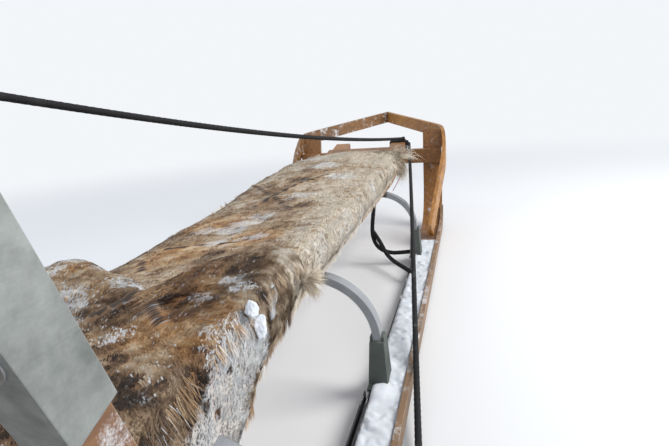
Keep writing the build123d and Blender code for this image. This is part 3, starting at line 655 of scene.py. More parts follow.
hideShape = {
    "pile": 0.012,         # skin below the hair's outer face
    "skin": 0.004,
    # sink of the skin along a break in the hair, within two distances from it
    "crease": 0.004, "creaseWidth": (0.004, 0.016),
    # each row: station; height of the left hem, left edge, middle, right edge, right hem
    "front": [(-0.165, 0.375, 0.390, 0.400, 0.398, 0.370), (-0.190, 0.378, 0.398, 0.408, 0.404, 0.370),
              (-0.400, 0.378, 0.412, 0.434, 0.416, 0.358), (-0.560, 0.378, 0.420, 0.440, 0.414, 0.346),
              (-0.730, 0.376, 0.420, 0.428, 0.402, 0.338), (-0.900, 0.368, 0.405, 0.418, 0.396, 0.334),
              (-1.100, 0.356, 0.392, 0.402, 0.392, 0.328), (-1.300, 0.344, 0.376, 0.388, 0.390, 0.324),
              (-1.500, 0.332, 0.366, 0.380, 0.392, 0.320), (-1.680, 0.326, 0.364, 0.376, 0.392, 0.318),
              (-1.850, 0.324, 0.364, 0.372, 0.384, 0.318), (-1.980, 0.322, 0.360, 0.370, 0.376, 0.318)],
    "frontSides": (0.218, 0.190),
    "frontSwept": (-0.06, -0.15),      # how far the front edge runs back on the left and on the right
    # rumples: cell size, depth, seed
    "frontRumples": [(0.10, 0.014, 3), (0.022, 0.005, 8)],
    "rearRumples": [(0.075, 0.018, 21), (0.020, 0.005, 5)],
    # stations counted from the hide's own front edge
    "rear": [(0.000, 0.330, 0.366, 0.378, 0.386, 0.352), (-0.030, 0.322, 0.424, 0.402, 0.414, 0.338),
             (-0.110, 0.316, 0.428, 0.396, 0.410, 0.324), (-0.175, 0.314, 0.410, 0.390, 0.403, 0.320),
             (-0.230, 0.312, 0.394, 0.388, 0.396, 0.288), (-0.300, 0.310, 0.386, 0.386, 0.392, 0.242),
             (-0.400, 0.304, 0.380, 0.386, 0.388, 0.222), (-0.520, 0.300, 0.376, 0.386, 0.382, 0.220),
             (-0.620, 0.296, 0.374, 0.382, 0.376, 0.226), (-0.700, 0.300, 0.362, 0.368, 0.364, 0.242)],
    "rearSides": (0.216, 0.200),
    # front edge of the rear hide: (y, station)
    "rearEdge": [(0.240, -1.880), (0.209, -1.820), (0.164, -1.819), (0.098, -1.852), (0.038, -1.880),
                 (-0.016, -1.933), (-0.047, -1.800), (-0.089, -1.769), (-0.116, -1.744), (-0.152, -1.732),
                 (-0.190, -1.752), (-0.215, -1.790)],
    "rearEnd": -2.470,
    # points of the grids: along, across
    "frontGrid": (230, 90), "rearGrid": (120, 150),
}


def crossSection(row, left, right):
    # control points over the bench from the left hem to the right one, as (station, y, z)
    station, leftHem, leftEdge, middle, rightEdge, rightHem = row
    outline = [(left - 0.006, leftHem), (left, (leftHem + leftEdge) / 2),
               (left - 0.004, leftEdge - 0.004), (left - 0.040, leftEdge + 0.002),
               (0.090, (leftEdge + middle) / 2 + 0.002), (0.0, middle),
               (-0.085, (rightEdge + middle) / 2 + 0.003), (-right + 0.042, rightEdge + 0.004),
               (-right + 0.004, rightEdge - 0.002), (-right, (rightEdge + rightHem) / 2),
               (-right + 0.001, rightHem)]
    return [(station, y, z - hideShape["pile"]) for y, z in outline]


def splineGrid(control, along, across):
    # B-spline surface through both directions of the control points
    grid = splineRows(control, along)
    return splineRows(grid.transpose(1, 0, 2), across).transpose(1, 0, 2)


def rumpled(grid, rumples):
    # moved along its normals by cloudy noise, low creases across it, once for each set of rumples
    for size, depth, seed in rumples:
        wave = cloudy(grid * [1.0, 0.55, 1.0], size, seed) - 0.5
        grid = grid + gridNormals(grid) * (wave * depth)[..., None]
    return grid


def frontHideGrid():
    control = np.array([crossSection(row, *hideShape["frontSides"]) for row in hideShape["front"]])
    # the front edge runs back on both sides, further on the right
    control[:2, :, 0] += np.linspace(*hideShape["frontSwept"], control.shape[1])
    control[..., 0] += tipX
    return rumpled(splineGrid(control, *hideShape["frontGrid"]), hideShape["frontRumples"])


def rearHideGrid():
    control = np.array([crossSection(row, *hideShape["rearSides"]) for row in hideShape["rear"]])
    grid = splineGrid(control, *hideShape["rearGrid"])
    # each column runs from the uneven front edge to the straight rear end
    edge = np.array(sorted(hideShape["rearEdge"]))
    start = np.interp(grid[0, :, 1], edge[:, 0], edge[:, 1])
    share = grid[..., 0] / hideShape["rear"][-1][0]
    grid[..., 0] = tipX + start[None] + share * (hideShape["rearEnd"] - start)[None]
    return rumpled(grid, hideShape["rearRumples"])


# creases and breaks in the hair: (station, y) along each one
breaks = {
    "front": [[(-1.307, 0.090), (-1.184, 0.069), (-1.061, 0.032), (-0.942, -0.033)],
              [(-1.013, 0.217), (-1.112, 0.140), (-1.215, 0.058), (-1.355, -0.040)],
              [(-1.632, 0.161), (-1.639, 0.115), (-1.625, 0.066)], [(-1.635, 0.018), (-1.642, -0.037)],
              [(-1.714, 0.158), (-1.785, 0.110)]],
    "rear": [[(-2.031, 0.010), (-1.994, -0.006), (-1.930, -0.020)],
             [(-1.984, -0.044), (-2.012, -0.070), (-2.046, -0.104)]],
}


def breakDistance(points, lines):
    # least distance in plan from each point to the lines' runs
    flat = points[..., :2] - [tipX, 0]
    best = np.full(flat.shape[:-1], 1.0)
    for line in lines:
        for a, b in zip(line, line[1:]):
            a, d = np.array(a), np.array(b) - np.array(a)
            t = np.clip(((flat - a) @ d) / (d @ d), 0, 1)
            best = np.minimum(best, np.linalg.norm(flat - a - t[..., None] * d, axis=-1))
    return best


def spots(points, places, axis=1):
    # highest of several soft round patches, 1 at a centre and 0 at its radius; a place is its station, its y
    # (or its z, with axis 2) and its radius
    best = np.zeros(points.shape[:-1])
    for station, other, radius in places:
        d = np.hypot(points[..., 0] - tipX - station, points[..., axis] - other)
        best = np.maximum(best, 1 - smooth(d, 0.35 * radius, radius))
    return best


patches = {
    # on top, station, y and radius; on the right flank, station, z and radius
    "front": {
        "base": 0.71,
        "brown": [(-1.56, 0.12, 0.22), (-1.66, -0.02, 0.20), (-1.33, 0.04, 0.22), (-1.12, 0.10, 0.20),
                  (-1.76, 0.08, 0.20), (-0.92, 0.03, 0.14), (-1.48, -0.10, 0.12)],
        "dark": [(-1.70, 0.02, 0.06), (-1.30, -0.06, 0.05), (-1.00, 0.06, 0.05)],
        "warm": [(-1.45, 0.13, 0.12), (-1.68, 0.10, 0.12), (-1.60, -0.04, 0.10)],
        "white": [(-0.20, 0.10, 0.16), (-0.30, -0.12, 0.22), (-0.60, -0.15, 0.20), (-0.57, 0.02, 0.18),
                  (-0.92, -0.17, 0.16), (-0.30, 0.00, 0.18), (-1.22, -0.15, 0.14), (-1.45, -0.17, 0.14),
                  (-1.05, -0.16, 0.14), (-1.34, -0.17, 0.12), (-1.62, -0.18, 0.10)],
        "snow": [(-1.614, 0.044, 0.05), (-1.515, 0.057, 0.07), (-1.458, 0.044, 0.06), (-1.600, -0.031, 0.06),
                 (-1.206, -0.014, 0.06), (-1.512, 0.123, 0.04), (-1.399, 0.024, 0.05), (-0.80, 0.02, 0.08),
                 (-0.60, 0.12, 0.08), (-0.96, -0.08, 0.07)],
        "flankSnow": [(-1.40, 0.362, 0.13), (-1.60, 0.365, 0.10), (-1.20, 0.372, 0.12), (-1.02, 0.376, 0.08)],
        "flankGain": 0.62,
        "flankDark": [(-1.30, 0.352, 0.016), (-1.47, 0.346, 0.014), (-1.10, 0.366, 0.018),
                      (-0.84, 0.372, 0.02), (-1.56, 0.360, 0.012)],
    },
    "rear": {
        "base": 0.52,
        "brown": [(-1.98, -0.06, 0.14), (-2.20, -0.05, 0.20), (-1.86, -0.11, 0.08), (-2.08, 0.05, 0.14),
                  (-2.16, -0.16, 0.09), (-2.30, 0.05, 0.20)],
        "dark": [(-1.971, -0.063, 0.030), (-1.900, -0.176, 0.026), (-1.930, -0.192, 0.022),
                 (-2.206, -0.164, 0.040), (-2.229, -0.205, 0.035), (-2.175, -0.129, 0.040),
                 (-1.840, -0.200, 0.014), (-2.26, -0.12, 0.04)],
        "warm": [(-2.010, -0.170, 0.060), (-2.082, -0.182, 0.050), (-1.95, -0.09, 0.07), (-1.90, 0.15, 0.06),
                 (-2.05, -0.10, 0.07), (-1.86, -0.06, 0.06), (-2.12, 0.02, 0.08)],
        "white": [(-1.76, -0.18, 0.05), (-1.80, -0.205, 0.05), (-1.84, 0.18, 0.05), (-1.91, 0.19, 0.07),
                  (-1.95, 0.15, 0.05)],
        "snow": [(-1.998, 0.080, 0.055), (-2.070, -0.055, 0.028), (-1.870, 0.110, 0.045),
                 (-1.930, 0.175, 0.05), (-1.865, 0.185, 0.04), (-1.985, 0.190, 0.05),
                 (-1.925, 0.035, 0.040), (-1.905, -0.138, 0.034), (-1.935, -0.168, 0.030),
                 (-2.060, -0.180, 0.020), (-1.965, -0.115, 0.028), (-2.0, 0.15, 0.04),
                 (-2.045, 0.045, 0.03)],
        "flankSnow": [(-1.898, 0.366, 0.022), (-1.915, 0.350, 0.020), (-1.978, 0.329, 0.050),
                      (-2.010, 0.335, 0.070), (-2.050, 0.320, 0.080), (-2.080, 0.285, 0.080),
                      (-2.110, 0.305, 0.060), (-2.130, 0.275, 0.070), (-2.180, 0.265, 0.060)],
        "flankGain": 1.5,
        "flankDark": [(-2.108, 0.352, 0.014), (-2.125, 0.340, 0.018), (-2.118, 0.322, 0.014),
                      (-2.150, 0.335, 0.020), (-2.062, 0.338, 0.009), (-2.098, 0.303, 0.010)],
    },
}


def hideTones(points, which):
    # tone runs from dark 0 to pale 1: a base, less in the brown and dark patches, more in the white ones,
    # with noise in streaks; warm is how orange the hair is; frost is how thickly snow lies there; gap is 1
    # in a break of the hair, where tone and warm are pulled down as painted shadow in the break
    zones = patches[which]
    flank = smooth(-points[..., 1], 0.172, 0.192)
    dark = flank * spots(points, zones["flankDark"], 2)
    streak = (noise(points * [1.0, 0.30, 1.0], 0.009, 4) + noise(points * [0.35, 1.0, 1.0], 0.013, 9)) / 2
    cloud = cloudy(points * [0.7, 1.3, 1.0], 0.045, 31)
    gap = 1 - smooth(breakDistance(points, breaks[which]), 0.0022, 0.0042)
    # painted shadow: the hair in a break is made dark (- 2 * gap) and less orange (- gap)
    tone = (zones["base"] - 0.17 * spots(points, zones["brown"]) + 0.26 * spots(points, zones["white"])
            - 0.26 * spots(points, zones["dark"]) - 0.45 * dark + (streak - 0.5) * 0.70
            + (cloud - 0.5) * 0.62 + flank * 0.08 - 2 * gap)
    warm = (0.25 + 0.75 * spots(points, zones["warm"]) + (cloudy(points, 0.05, 17) - 0.5) * 0.5
            - 0.5 * flank - gap)
    frost = np.maximum(spots(points, zones["snow"]) * 0.62,
                       flank * spots(points, zones["flankSnow"], 2) * zones["flankGain"])
    frost = np.clip(frost + 0.20 * (1 - flank) - 0.9 * dark, 0, 1.3) * (1 - gap)
    return np.clip(tone, -0.2, 0.98), np.clip(warm, 0, 1), frost, gap


def caught(points, frost, seed):
    # snow in the hair comes in grains: the zone's thickness, fine noise and chance, cut off sharply
    rng = np.random.default_rng(seed)
    fine = cloudy(points, 0.016, 12) * 0.5 + noise(points, 0.0045, 23) * 0.5
    chance = rng.random(frost.shape)
    return smooth(frost * 0.62 + (fine - 0.5) * 0.95 + (chance - 0.5) * 0.42, 0.36, 0.54)


def thicken(piece, thickness):
    solid = piece.modifiers.new("thickness", "SOLIDIFY")
    solid.thickness = thickness
    solid.offset = -1


def addSkin(name, grid, node, which):
    # the grid, sunk along its normals near the breaks in the hair, with a thickness below it
    tone, warm, frost, _ = hideTones(grid, which)
    sink = hideShape["crease"] * (1 - smooth(breakDistance(grid, breaks[which]), *hideShape["creaseWidth"]))
    # an along share of 0.35 makes the fur finish darken the skin as painted shade under the hair
    marks = {"tone": tone, "frost": caught(grid, frost, 3) * 0.6, "warm": warm,
             "along": np.full(tone.shape, 0.35)}
    piece = makeMesh(name, grid - gridNormals(grid) * sink[..., None],
                     [gridFaces(*grid.shape[:2])[:, ::-1]], furFinish, "hide", marks=marks)
    thicken(piece, hideShape["skin"])
    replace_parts(piece, node)
    return piece


def makeFurFinish():
    # two ramps from the hair's tone, grey-brown and orange-brown, mixed by warm; darker towards the root as
    # painted shade, where the hairs shade each other; whitened by frost towards the tip
    shade = Shade("hideHair", Roughness=0.62, Specular_IOR_Level=0.3)
    tone, frost, along = shade.mark("tone"), shade.mark("frost"), shade.mark("along")
    fine = shade.grains(900, 2)
    level = (tone + fine * 0.16 - 0.08).held()
    plain = shade.ramp(level, [
        (0.02, (0.030, 0.019, 0.013)), (0.25, (0.130, 0.079, 0.046)), (0.45, (0.30, 0.205, 0.125)),
        (0.65, (0.52, 0.410, 0.290)), (0.88, (0.78, 0.70, 0.59))])
    orange = shade.ramp(level, [
        (0.02, (0.045, 0.018, 0.007)), (0.25, (0.190, 0.082, 0.026)), (0.45, (0.40, 0.205, 0.075)),
        (0.65, (0.60, 0.370, 0.180)), (0.88, (0.78, 0.62, 0.42))])
    colour = shade.mix(plain, orange, shade.mark("warm"))
    # painted shade: the colour is scaled down towards the root, where the hairs shade each other
    shaded = shade.node("ShaderNodeVectorMath", {"operation": "SCALE"}, {0: colour, 3: along * 0.60 + 0.58})
    # the frost's white is tinted blue as painted shade, the cool tone of snow in open shade
    white = shade.mix(shaded, (0.80, 0.86, 0.92), (frost * (along * 0.4 + 0.6)).held())
    shade.set(Base_Color=white)
    shade.bump(fine, 0.2, 0.0005)
    return shade.material


furFinish = makeFurFinish()


def hairs(name, grid, count, seed, look):
    # blades of two stretches: root, middle p + L/2 (t cos a + n sin a), tip that much again at a fifth of
    # the angle and pulled towards the middle of its own lock; half width falls from root to tip
    rng = np.random.default_rng(seed)
    u, v = rng.random(count), rng.random(count)
    root, normal = pick(grid, u, v), unit(pick(gridNormals(grid), u, v))
    facts = look(root, u)
    keep = rng.random(count) < facts["density"]
    root, normal = root[keep], normal[keep]
    facts = {k: (w[keep] if isinstance(w, np.ndarray) else w) for k, w in facts.items()}
    n = len(root)
    flow = unit(across(facts["flow"], normal))
    side = np.cross(flow, normal)
    # locks: cells whose hairs share a turn, a lift and a tone
    cell = np.floor(root / facts["lock"])
    turn = ((lattice(cell, 1) - 0.5) * 0.9 + rng.normal(0, 0.16, n))[:, None]
    lift = (facts["lift"] * (0.55 + 0.9 * lattice(cell, 2)) + rng.normal(0, 0.06, n))[:, None]
    length = facts["length"] * (0.7 + 0.5 * lattice(cell, 3)) * (0.8 + 0.4 * rng.random(n))
    flow = unit(flow * np.cos(turn) + side * np.sin(turn))
    side = np.cross(flow, normal)
    middleOfLock = cell + 0.5 + 0.3 * np.stack([lattice(cell, k) - 0.5 for k in (5, 6, 7)], -1)
    pull = across(across(middleOfLock * facts["lock"] - root, flow), normal)
    stretch = length[:, None] * 0.5
    middle = root + stretch * (flow * np.cos(lift) + normal * np.sin(lift)) + pull * 0.35
    tip = middle + stretch * (flow * np.cos(lift * 0.2) + normal * np.sin(lift * 0.2)) + pull * 0.45
    tip[:, 2] -= length * facts["droop"]
    half = (facts["width"] * (0.7 + 0.6 * rng.random(n)))[:, None] / 2
    root = root - normal * 0.002
    points = np.stack([root - side * half, root + side * half, middle - side * half * 0.8,
                       middle + side * half * 0.8, tip], 1)
    start = np.arange(n)[:, None] * 5
    tone = facts["tone"] + (lattice(cell, 4) - 0.5) * facts["contrast"] + rng.normal(0, 0.05, n)
    white = caught(root, facts["frost"], seed + 9)
    marks = {"tone": np.repeat(np.clip(tone, 0, 1), 5), "frost": np.repeat(white, 5),
             "warm": np.repeat(facts["warm"], 5), "along": np.tile([0.0, 0.0, 0.6, 0.6, 1.0], n)}
    return makeMesh(name, points, [start + [0, 1, 3, 2], start + [2, 3, 4]], furFinish, "hide", marks=marks)


def across(v, axis):
    # the part of v that is square to a unit axis
    return v - axis * (v * axis).sum(-1, keepdims=True)


def blended(flow, other, share):
    # from one direction to another by a share for each hair
    return flow * (1 - share[:, None]) + other * share[:, None]


def vectors(x, y, z):
    # one array of vectors from three numbers or arrays
    return np.stack(np.broadcast_arrays(x, y, z), -1)


def frontLook(root, _):
    # leftward and back on top, down the right flank, forward at the nose, longest at the front right corner
    tone, warm, frost, gap = hideTones(root, "front")
    station, right = root[:, 0] - tipX, -root[:, 1]
    swing = noise(root, 0.07, 14) - 0.5
    flank = smooth(right, 0.15, 0.19)
    nose = smooth(station, -0.40, -0.28)
    tuft = smooth(right, 0.10, 0.19) * smooth(station, -0.75, -0.35)
    corner = smooth(right, 0.06, 0.15) * smooth(station, -0.66, -0.44)
    flow = blended(vectors(-0.55 + swing * 1.3, 0.65, -0.05), vectors(-0.25 + swing, -0.35, -0.9), flank)
    flow = blended(blended(flow, vectors(0.9, -0.2, 0.1), nose), vectors(0.55, -0.80, 0.05), corner)
    near = 1 - 0.75 * (1 - smooth(breakDistance(root, breaks["front"]), 0.004, 0.018))
    return {"density": 1 - gap * 0.2, "flow": flow, "lock": 0.012, "contrast": 0.46,
            "lift": (0.34 + 0.25 * nose + 0.35 * tuft + 0.20 * corner) * near,
            "length": (0.022 + 0.012 * nose + 0.034 * tuft + 0.040 * corner) * near,
            "droop": 0.08 + 0.10 * flank + 0.15 * corner, "width": 0.0019,
            "tone": tone + (0.15 * tuft + 0.30 * corner) * (1 - gap),
            "warm": warm * (1 - tuft), "frost": frost}


def rearLook(root, u):
    # leftward near the front edge, turning rearward and to the right further back, down the right flank;
    # the rim stands up and is pale, most of all on the right; locks are twice as wide where hair is long
    tone, warm, frost, gap = hideTones(root, "rear")
    station, right = root[:, 0] - tipX, -root[:, 1]
    swing = noise(root, 0.06, 24) - 0.5
    edge = 1 - smooth(u, 0.020, 0.105)
    flank = smooth(right, 0.168, 0.196)
    long = smooth(-station, 2.06, 2.16) * (1 - flank)
    pale = edge ** 0.7 * (0.70 + 0.30 * smooth(right, 0.00, 0.10)) * (1 - flank * 0.3)
    flow = blended(vectors(-0.50 + swing * 1.4, 0.55 + swing * 0.8, -0.05),
                   vectors(-0.80 + swing * 0.8, -0.45 + swing * 1.5, -0.10), smooth(-station, 1.98, 2.10))
    flow = blended(flow, vectors(0.65, -0.30, 0.55), edge)
    flow = blended(flow, vectors(-0.25 + swing * 0.8, -0.25, -0.95), flank * (1 - edge))
    near = 1 - 0.75 * (1 - smooth(breakDistance(root, breaks["rear"]), 0.004, 0.020))
    return {"density": 1 - gap * 0.2, "flow": flow, "lock": np.where(long > 0.5, 0.019, 0.009)[:, None],
            "contrast": 0.24 + 0.44 * (long > 0.5), "lift": (0.36 + 0.60 * edge + 0.24 * long) * near,
            "length": (0.028 + 0.014 * edge + 0.026 * long) * near,
            "droop": 0.08 + 0.10 * flank, "width": 0.0017,
            "tone": tone * (1 - pale) + pale * (0.92 + 0.4 * (noise(root, 0.012, 40) - 0.5)),
            "warm": warm * (1 - edge), "frost": frost * (1 - 0.7 * edge)}


def rimLook(root, _):
    # pale fluff that stands up along the rear hide's front edge and leans forward and outward
    swing = noise(root, 0.03, 44) - 0.5
    outer = smooth(-root[:, 1], 0.10, 0.20)
    flow = blended(vectors(0.85, -0.15 + swing, 0.10), vectors(0.55, -0.55 + swing, -0.25), outer)
    tone = 0.92 + 0.45 * (noise(root, 0.011, 46) - 0.5) - 0.6 * spots(root, [(-1.84, -0.20, 0.016)])
    return {"density": 0.75 + 0.25 * outer, "flow": flow, "lock": 0.008, "contrast": 0.34,
            "lift": 0.75 + 0.35 * swing, "length": 0.026 + 0.012 * outer, "droop": 0.05, "width": 0.0016,
            "tone": tone, "warm": np.full(len(root), 0.15), "frost": np.full(len(root), 0.12)}


def makeSnowFinish():
    # white with painted blue shade in its hollows, small sparkle-sized bumps
    shade = Shade("snow", Roughness=0.7, Specular_IOR_Level=0.25)
    lump, grit = shade.grains(60, 4), shade.grains(700, 2)
    # painted shade: where the lump noise is low, and so the bump lies in a hollow, the colour turns blue-grey
    shade.set(Base_Color=shade.mix((0.58, 0.65, 0.76), (0.88, 0.90, 0.92),
                                   (lump * 0.9 + grit * 0.4 - 0.1).held()))
    shade.bump(lump * 0.5 + grit * 0.5, 0.6, 0.0015)
    return shade.material


snowFinish = makeSnowFinish()
# lumps of snow on the rear hide's right edge: centre, half sizes along the hide, outwards and up, lean
lumps = {"snowLumpUpper": ((-1.990, -0.205, 0.383), (0.016, 0.010, 0.015), 0.35),
         "snowLumpLower": ((-1.974, -0.206, 0.352), (0.016, 0.010, 0.019), -0.25)}
lumpMesh = {"rows": 44, "cols": 64, "planes": 22}
crumbs = {"snowCrumbsFront": ("front", 2600), "snowCrumbsRear": ("rear", 2600)}
crumbSize = {"least": 0.0008, "spread": 0.0017, "lowest": 0.004, "deep": 0.008}


def addLump(name, facts):
    # broken lump: along each direction d the radius is the least of h / (n.d) over random planes of normal n
    # and distance h, roughened by noise, then turned about its outward axis
    centre, halves, lean = facts
    rows, cols, planeCount = lumpMesh["rows"], lumpMesh["cols"], lumpMesh["planes"]
    rng = np.random.default_rng(int(-centre[0] * 1000))
    rise = np.linspace(0, math.pi, rows)[:, None]
    around = np.linspace(0, 2 * math.pi, cols, endpoint=False)[None]
    ball = vectors(np.sin(rise) * np.cos(around), np.cos(rise), np.sin(rise) * np.sin(around))
    planes = unit(rng.normal(size=(planeCount, 3)))
    reach = ((0.62 + 0.34 * rng.random(planeCount)) / np.maximum(ball @ planes.T, 0.25)).min(-1)
    reach = np.minimum(reach, 1.0) * (0.86 + 0.24 * cloudy(ball + centre[0] * 40, 0.30, 2))
    x, y, z = np.moveaxis(ball * reach[..., None] * halves, -1, 0)
    c, s = math.cos(lean), math.sin(lean)
    points = (np.stack([x * c - z * s, y, x * s + z * c], -1) + spot(*centre)).reshape(-1, 3)
    # both poles drawn to one place
    points[:cols] = points[:cols].mean(0)
    points[-cols:] = points[-cols:].mean(0)
    return makeMesh(name, points, [gridFaces(rows, cols, True)], snowFinish)


def addCrumbs(name, grid, which, count):
    # eight-sided grains, thrown over the hide and kept where the snow lies thick
    rng = np.random.default_rng(count + len(which))
    u, v = rng.random(count * 12), rng.random(count * 12)
    place, normal = pick(grid, u, v), unit(pick(gridNormals(grid), u, v))
    frost = hideTones(place, which)[2]
    keep = np.flatnonzero(caught(place, frost, 5) * frost ** 0.7 > rng.random(len(u)) * 0.9)[:count]
    place, normal, n = place[keep], normal[keep], len(keep)
    size = (crumbSize["least"] + crumbSize["spread"] * rng.random((n, 1)) ** 2)[:, None]
    jitter = 0.7 + 0.6 * rng.random((n, 6, 1))
    place = place + normal * (crumbSize["lowest"] + crumbSize["deep"] * rng.random((n, 1)))
    corner = np.array([[1, 0, 0], [-1, 0, 0], [0, 1, 0], [0, -1, 0], [0, 0, 1], [0, 0, -1.0]])
    face = np.array([[0, 2, 4], [2, 1, 4], [1, 3, 4], [3, 0, 4], [2, 0, 5], [1, 2, 5], [3, 1, 5], [0, 3, 5]])
    faces = (np.arange(n)[:, None, None] * len(corner) + face).reshape(-1, 3)
    return makeMesh(name, place[:, None] + corner * size * jitter, [faces], snowFinish)


# hair: the hide that it grows on, how many of its grid's rows, hairs, seed and look
coats = {"frontHair0": ("front", None, 47000, 50, frontLook),
         "rearHair0": ("rear", None, 54000, 70, rearLook),
         "frontHair1": ("front", None, 47000, 51, frontLook),
         "rearHair1": ("rear", None, 54000, 71, rearLook),
         "rimHair": ("rear", 12, 20000, 90, rimLook)}


def addHides():
    grids = {"front": frontHideGrid(), "rear": rearHideGrid()}
    skinFront = addSkin("frontHide", grids["front"], "hide_front", "front")
    skinRear = addSkin("rearHide", grids["rear"], "hide_rear", "rear")
    share = 1
    riders = {"front": [], "rear": []}
    for name, (which, rows, count, seed, look) in coats.items():
        riders[which].append(hairs(name, grids[which][:rows], int(count * share), seed, look))
    for name, (which, count) in crumbs.items():
        riders[which].append(addCrumbs(name, grids[which], which, count))
    for name, facts in lumps.items():
        riders["rear"].append(addLump(name, facts))


addHides()
print("hides done")


# snow on the boards: a sheet over each one, with mounds beside the feet
boardSnow = {"stations": (-2.78, -0.47), "sides": (0.2775, 0.3435), "top": 0.0352, "depth": 0.0085,
             "sideFade": 0.006, "endFade": 0.03, "thickness": 0.0015,
             # station, distance from the middle, radius, height
             "mounds": [(-1.630, 0.292, 0.055, 0.016), (-1.515, 0.286, 0.050, 0.014),
                        (-0.735, 0.280, 0.06, 0.016), (-0.600, 0.300, 0.07, 0.012),
                        (-1.420, 0.325, 0.05, 0.008), (-1.760, 0.335, 0.06, 0.006)],
             # where it has worn off the board: station, distance from the middle, radius
             "bare": [(-1.675, 0.310, 0.030), (-1.700, 0.338, 0.026), (-1.180, 0.334, 0.03),
                      (-2.05, 0.30, 0.04)],
             "along": 480, "across": 15}


def addBoardSnow(name, sign, seed):
    # z = top + depth * noise past a limit + round mounds, thinned to nothing at the board's edges
    (back, front), (inner, outer) = boardSnow["stations"], boardSnow["sides"]
    x = np.linspace(back, front, boardSnow["along"])[:, None]
    y = np.linspace(inner, outer, boardSnow["across"])[None]
    flat = vectors(x + tipX, sign * y, 0.0)
    cover = smooth(cloudy(flat, 0.030, seed) * 0.7 + noise(flat, 0.009, seed + 1) * 0.3, 0.40, 0.56)
    height = boardSnow["depth"] * cover * (0.45 + 0.75 * cloudy(flat, 0.014, seed + 2))
    for station, away, radius, tall in boardSnow["mounds"]:
        d = np.hypot(x - station, y - away) * (0.8 + 0.4 * noise(flat, 0.02, seed + 3))
        height = np.maximum(height, tall * (1 - smooth(d, 0.1 * radius, radius)))
    for station, away, radius in boardSnow["bare"]:
        d = np.hypot(x - station, y - away) + 0.02 * (noise(flat, 0.012, seed + 4) - 0.5)
        height = height * smooth(d, 0.4 * radius, radius)
    rim = smooth(y - inner, 0, boardSnow["sideFade"]) * smooth(outer - y, 0, boardSnow["sideFade"])
    ends = smooth(x - back, 0, boardSnow["endFade"]) * smooth(front - x, 0, boardSnow["endFade"])
    points = flat + vectors(0, 0, boardSnow["top"] + height * rim * ends)
    faces = gridFaces(boardSnow["along"], boardSnow["across"])[:, ::sign]
    thicken(makeMesh(name, points, [faces], snowFinish), boardSnow["thickness"])


addBoardSnow("boardSnowRight", -1, 61)
addBoardSnow("boardSnowLeft", 1, 67)


def signedPower(value, power):
    return np.sign(value) * np.abs(value) ** power


# rubber straps on the hoops, beside the rails: station, corner centre's distance from the middle and
# radius of the tube's middle line there
straps = {"hoops": [(-0.665, 0.148, 0.1315), (-1.571, 0.147, 0.1415), (-2.11968, 0.156, 0.1415)],
          "angles": (6.0, 8.2, 10.4, 12.6), "centreZ": 0.284, "clear": 0.0004, "half": (0.0154, 0.0089),
          "thick": 0.0014, "halfLength": 0.0017, "corner": 0.35, "mesh": (8, 28)}


def ring(centre, axis, tall):
    # closed band round a tube: superellipse (a cos^n, b sin^n) carried round a small ellipse of its own
    rows, cols = straps["mesh"]
    own = np.linspace(0, 2 * math.pi, rows, endpoint=False)[:, None]
    turn = np.linspace(0, 2 * math.pi, cols, endpoint=False)[None]
    rise = straps["thick"] * np.sin(own)
    wide, high = ((half + rise) * signedPower(wave(turn), straps["corner"])
                  for half, wave in zip(straps["half"], (np.cos, np.sin)))
    points = (centre + axis * (straps["halfLength"] * np.cos(own))[..., None]
              + np.array([1, 0, 0]) * wide[..., None] + tall * high[..., None])
    return points.reshape(-1, 3), [gridFaces(rows, cols, True, True)], np.zeros((rows * cols, 2))


def turnedOut(piece, near=4e-5):
    # points of a pole drawn together, and faces of the closed shape made to point outwards
    work = bmesh.new()
    work.from_mesh(piece.data)
    bmesh.ops.remove_doubles(work, verts=work.verts, dist=near)
    bmesh.ops.recalc_face_normals(work, faces=work.faces)
    work.to_mesh(piece.data)
    work.free()


def addStraps():
    # bands square to the arc (y0 + r sin a, z0 + r cos a)
    pieces = []
    for station, y0, r in straps["hoops"]:
        z0 = straps["centreZ"] - r - straps["half"][1] + straps["clear"]
        for angle in map(math.radians, straps["angles"]):
            for sign in (-1, 1):
                out = vectors(0, sign * math.sin(angle), math.cos(angle))
                axis = vectors(0, sign * math.cos(angle), -math.sin(angle))
                pieces.append(ring(spot(station, sign * y0, z0) + r * out, axis, out))
    turnedOut(makeMesh("hoopStraps", *joined(pieces)[:2], finishes["rubber"], "pad_rubber"))


addStraps()


bolts = {"washer": 0.0105, "washerThick": 0.0018, "head": 0.0066, "headTall": 0.0056, "sides": 36,
         "pole": 1e-5,
         # on the feet: station, distance from the middle
         "feet": [(-0.665, 0.2795), (-1.571, 0.2885), (-2.11968, 0.2975)], "footZ": 0.041, "apart": 0.040,
         # elsewhere: station, distance from the middle, z, axis on the right-hand side
         "places": [(-2.545, 0.314, 0.263, (0, -1, 0)), (-2.545, 0.314, 0.840, (0, -1, 0)),
                    (-2.597, 0.314, 0.096, (0, -1, 0)), (-2.4275, 0.302, 0.556, (-0.9417, 0, -0.3365))]}


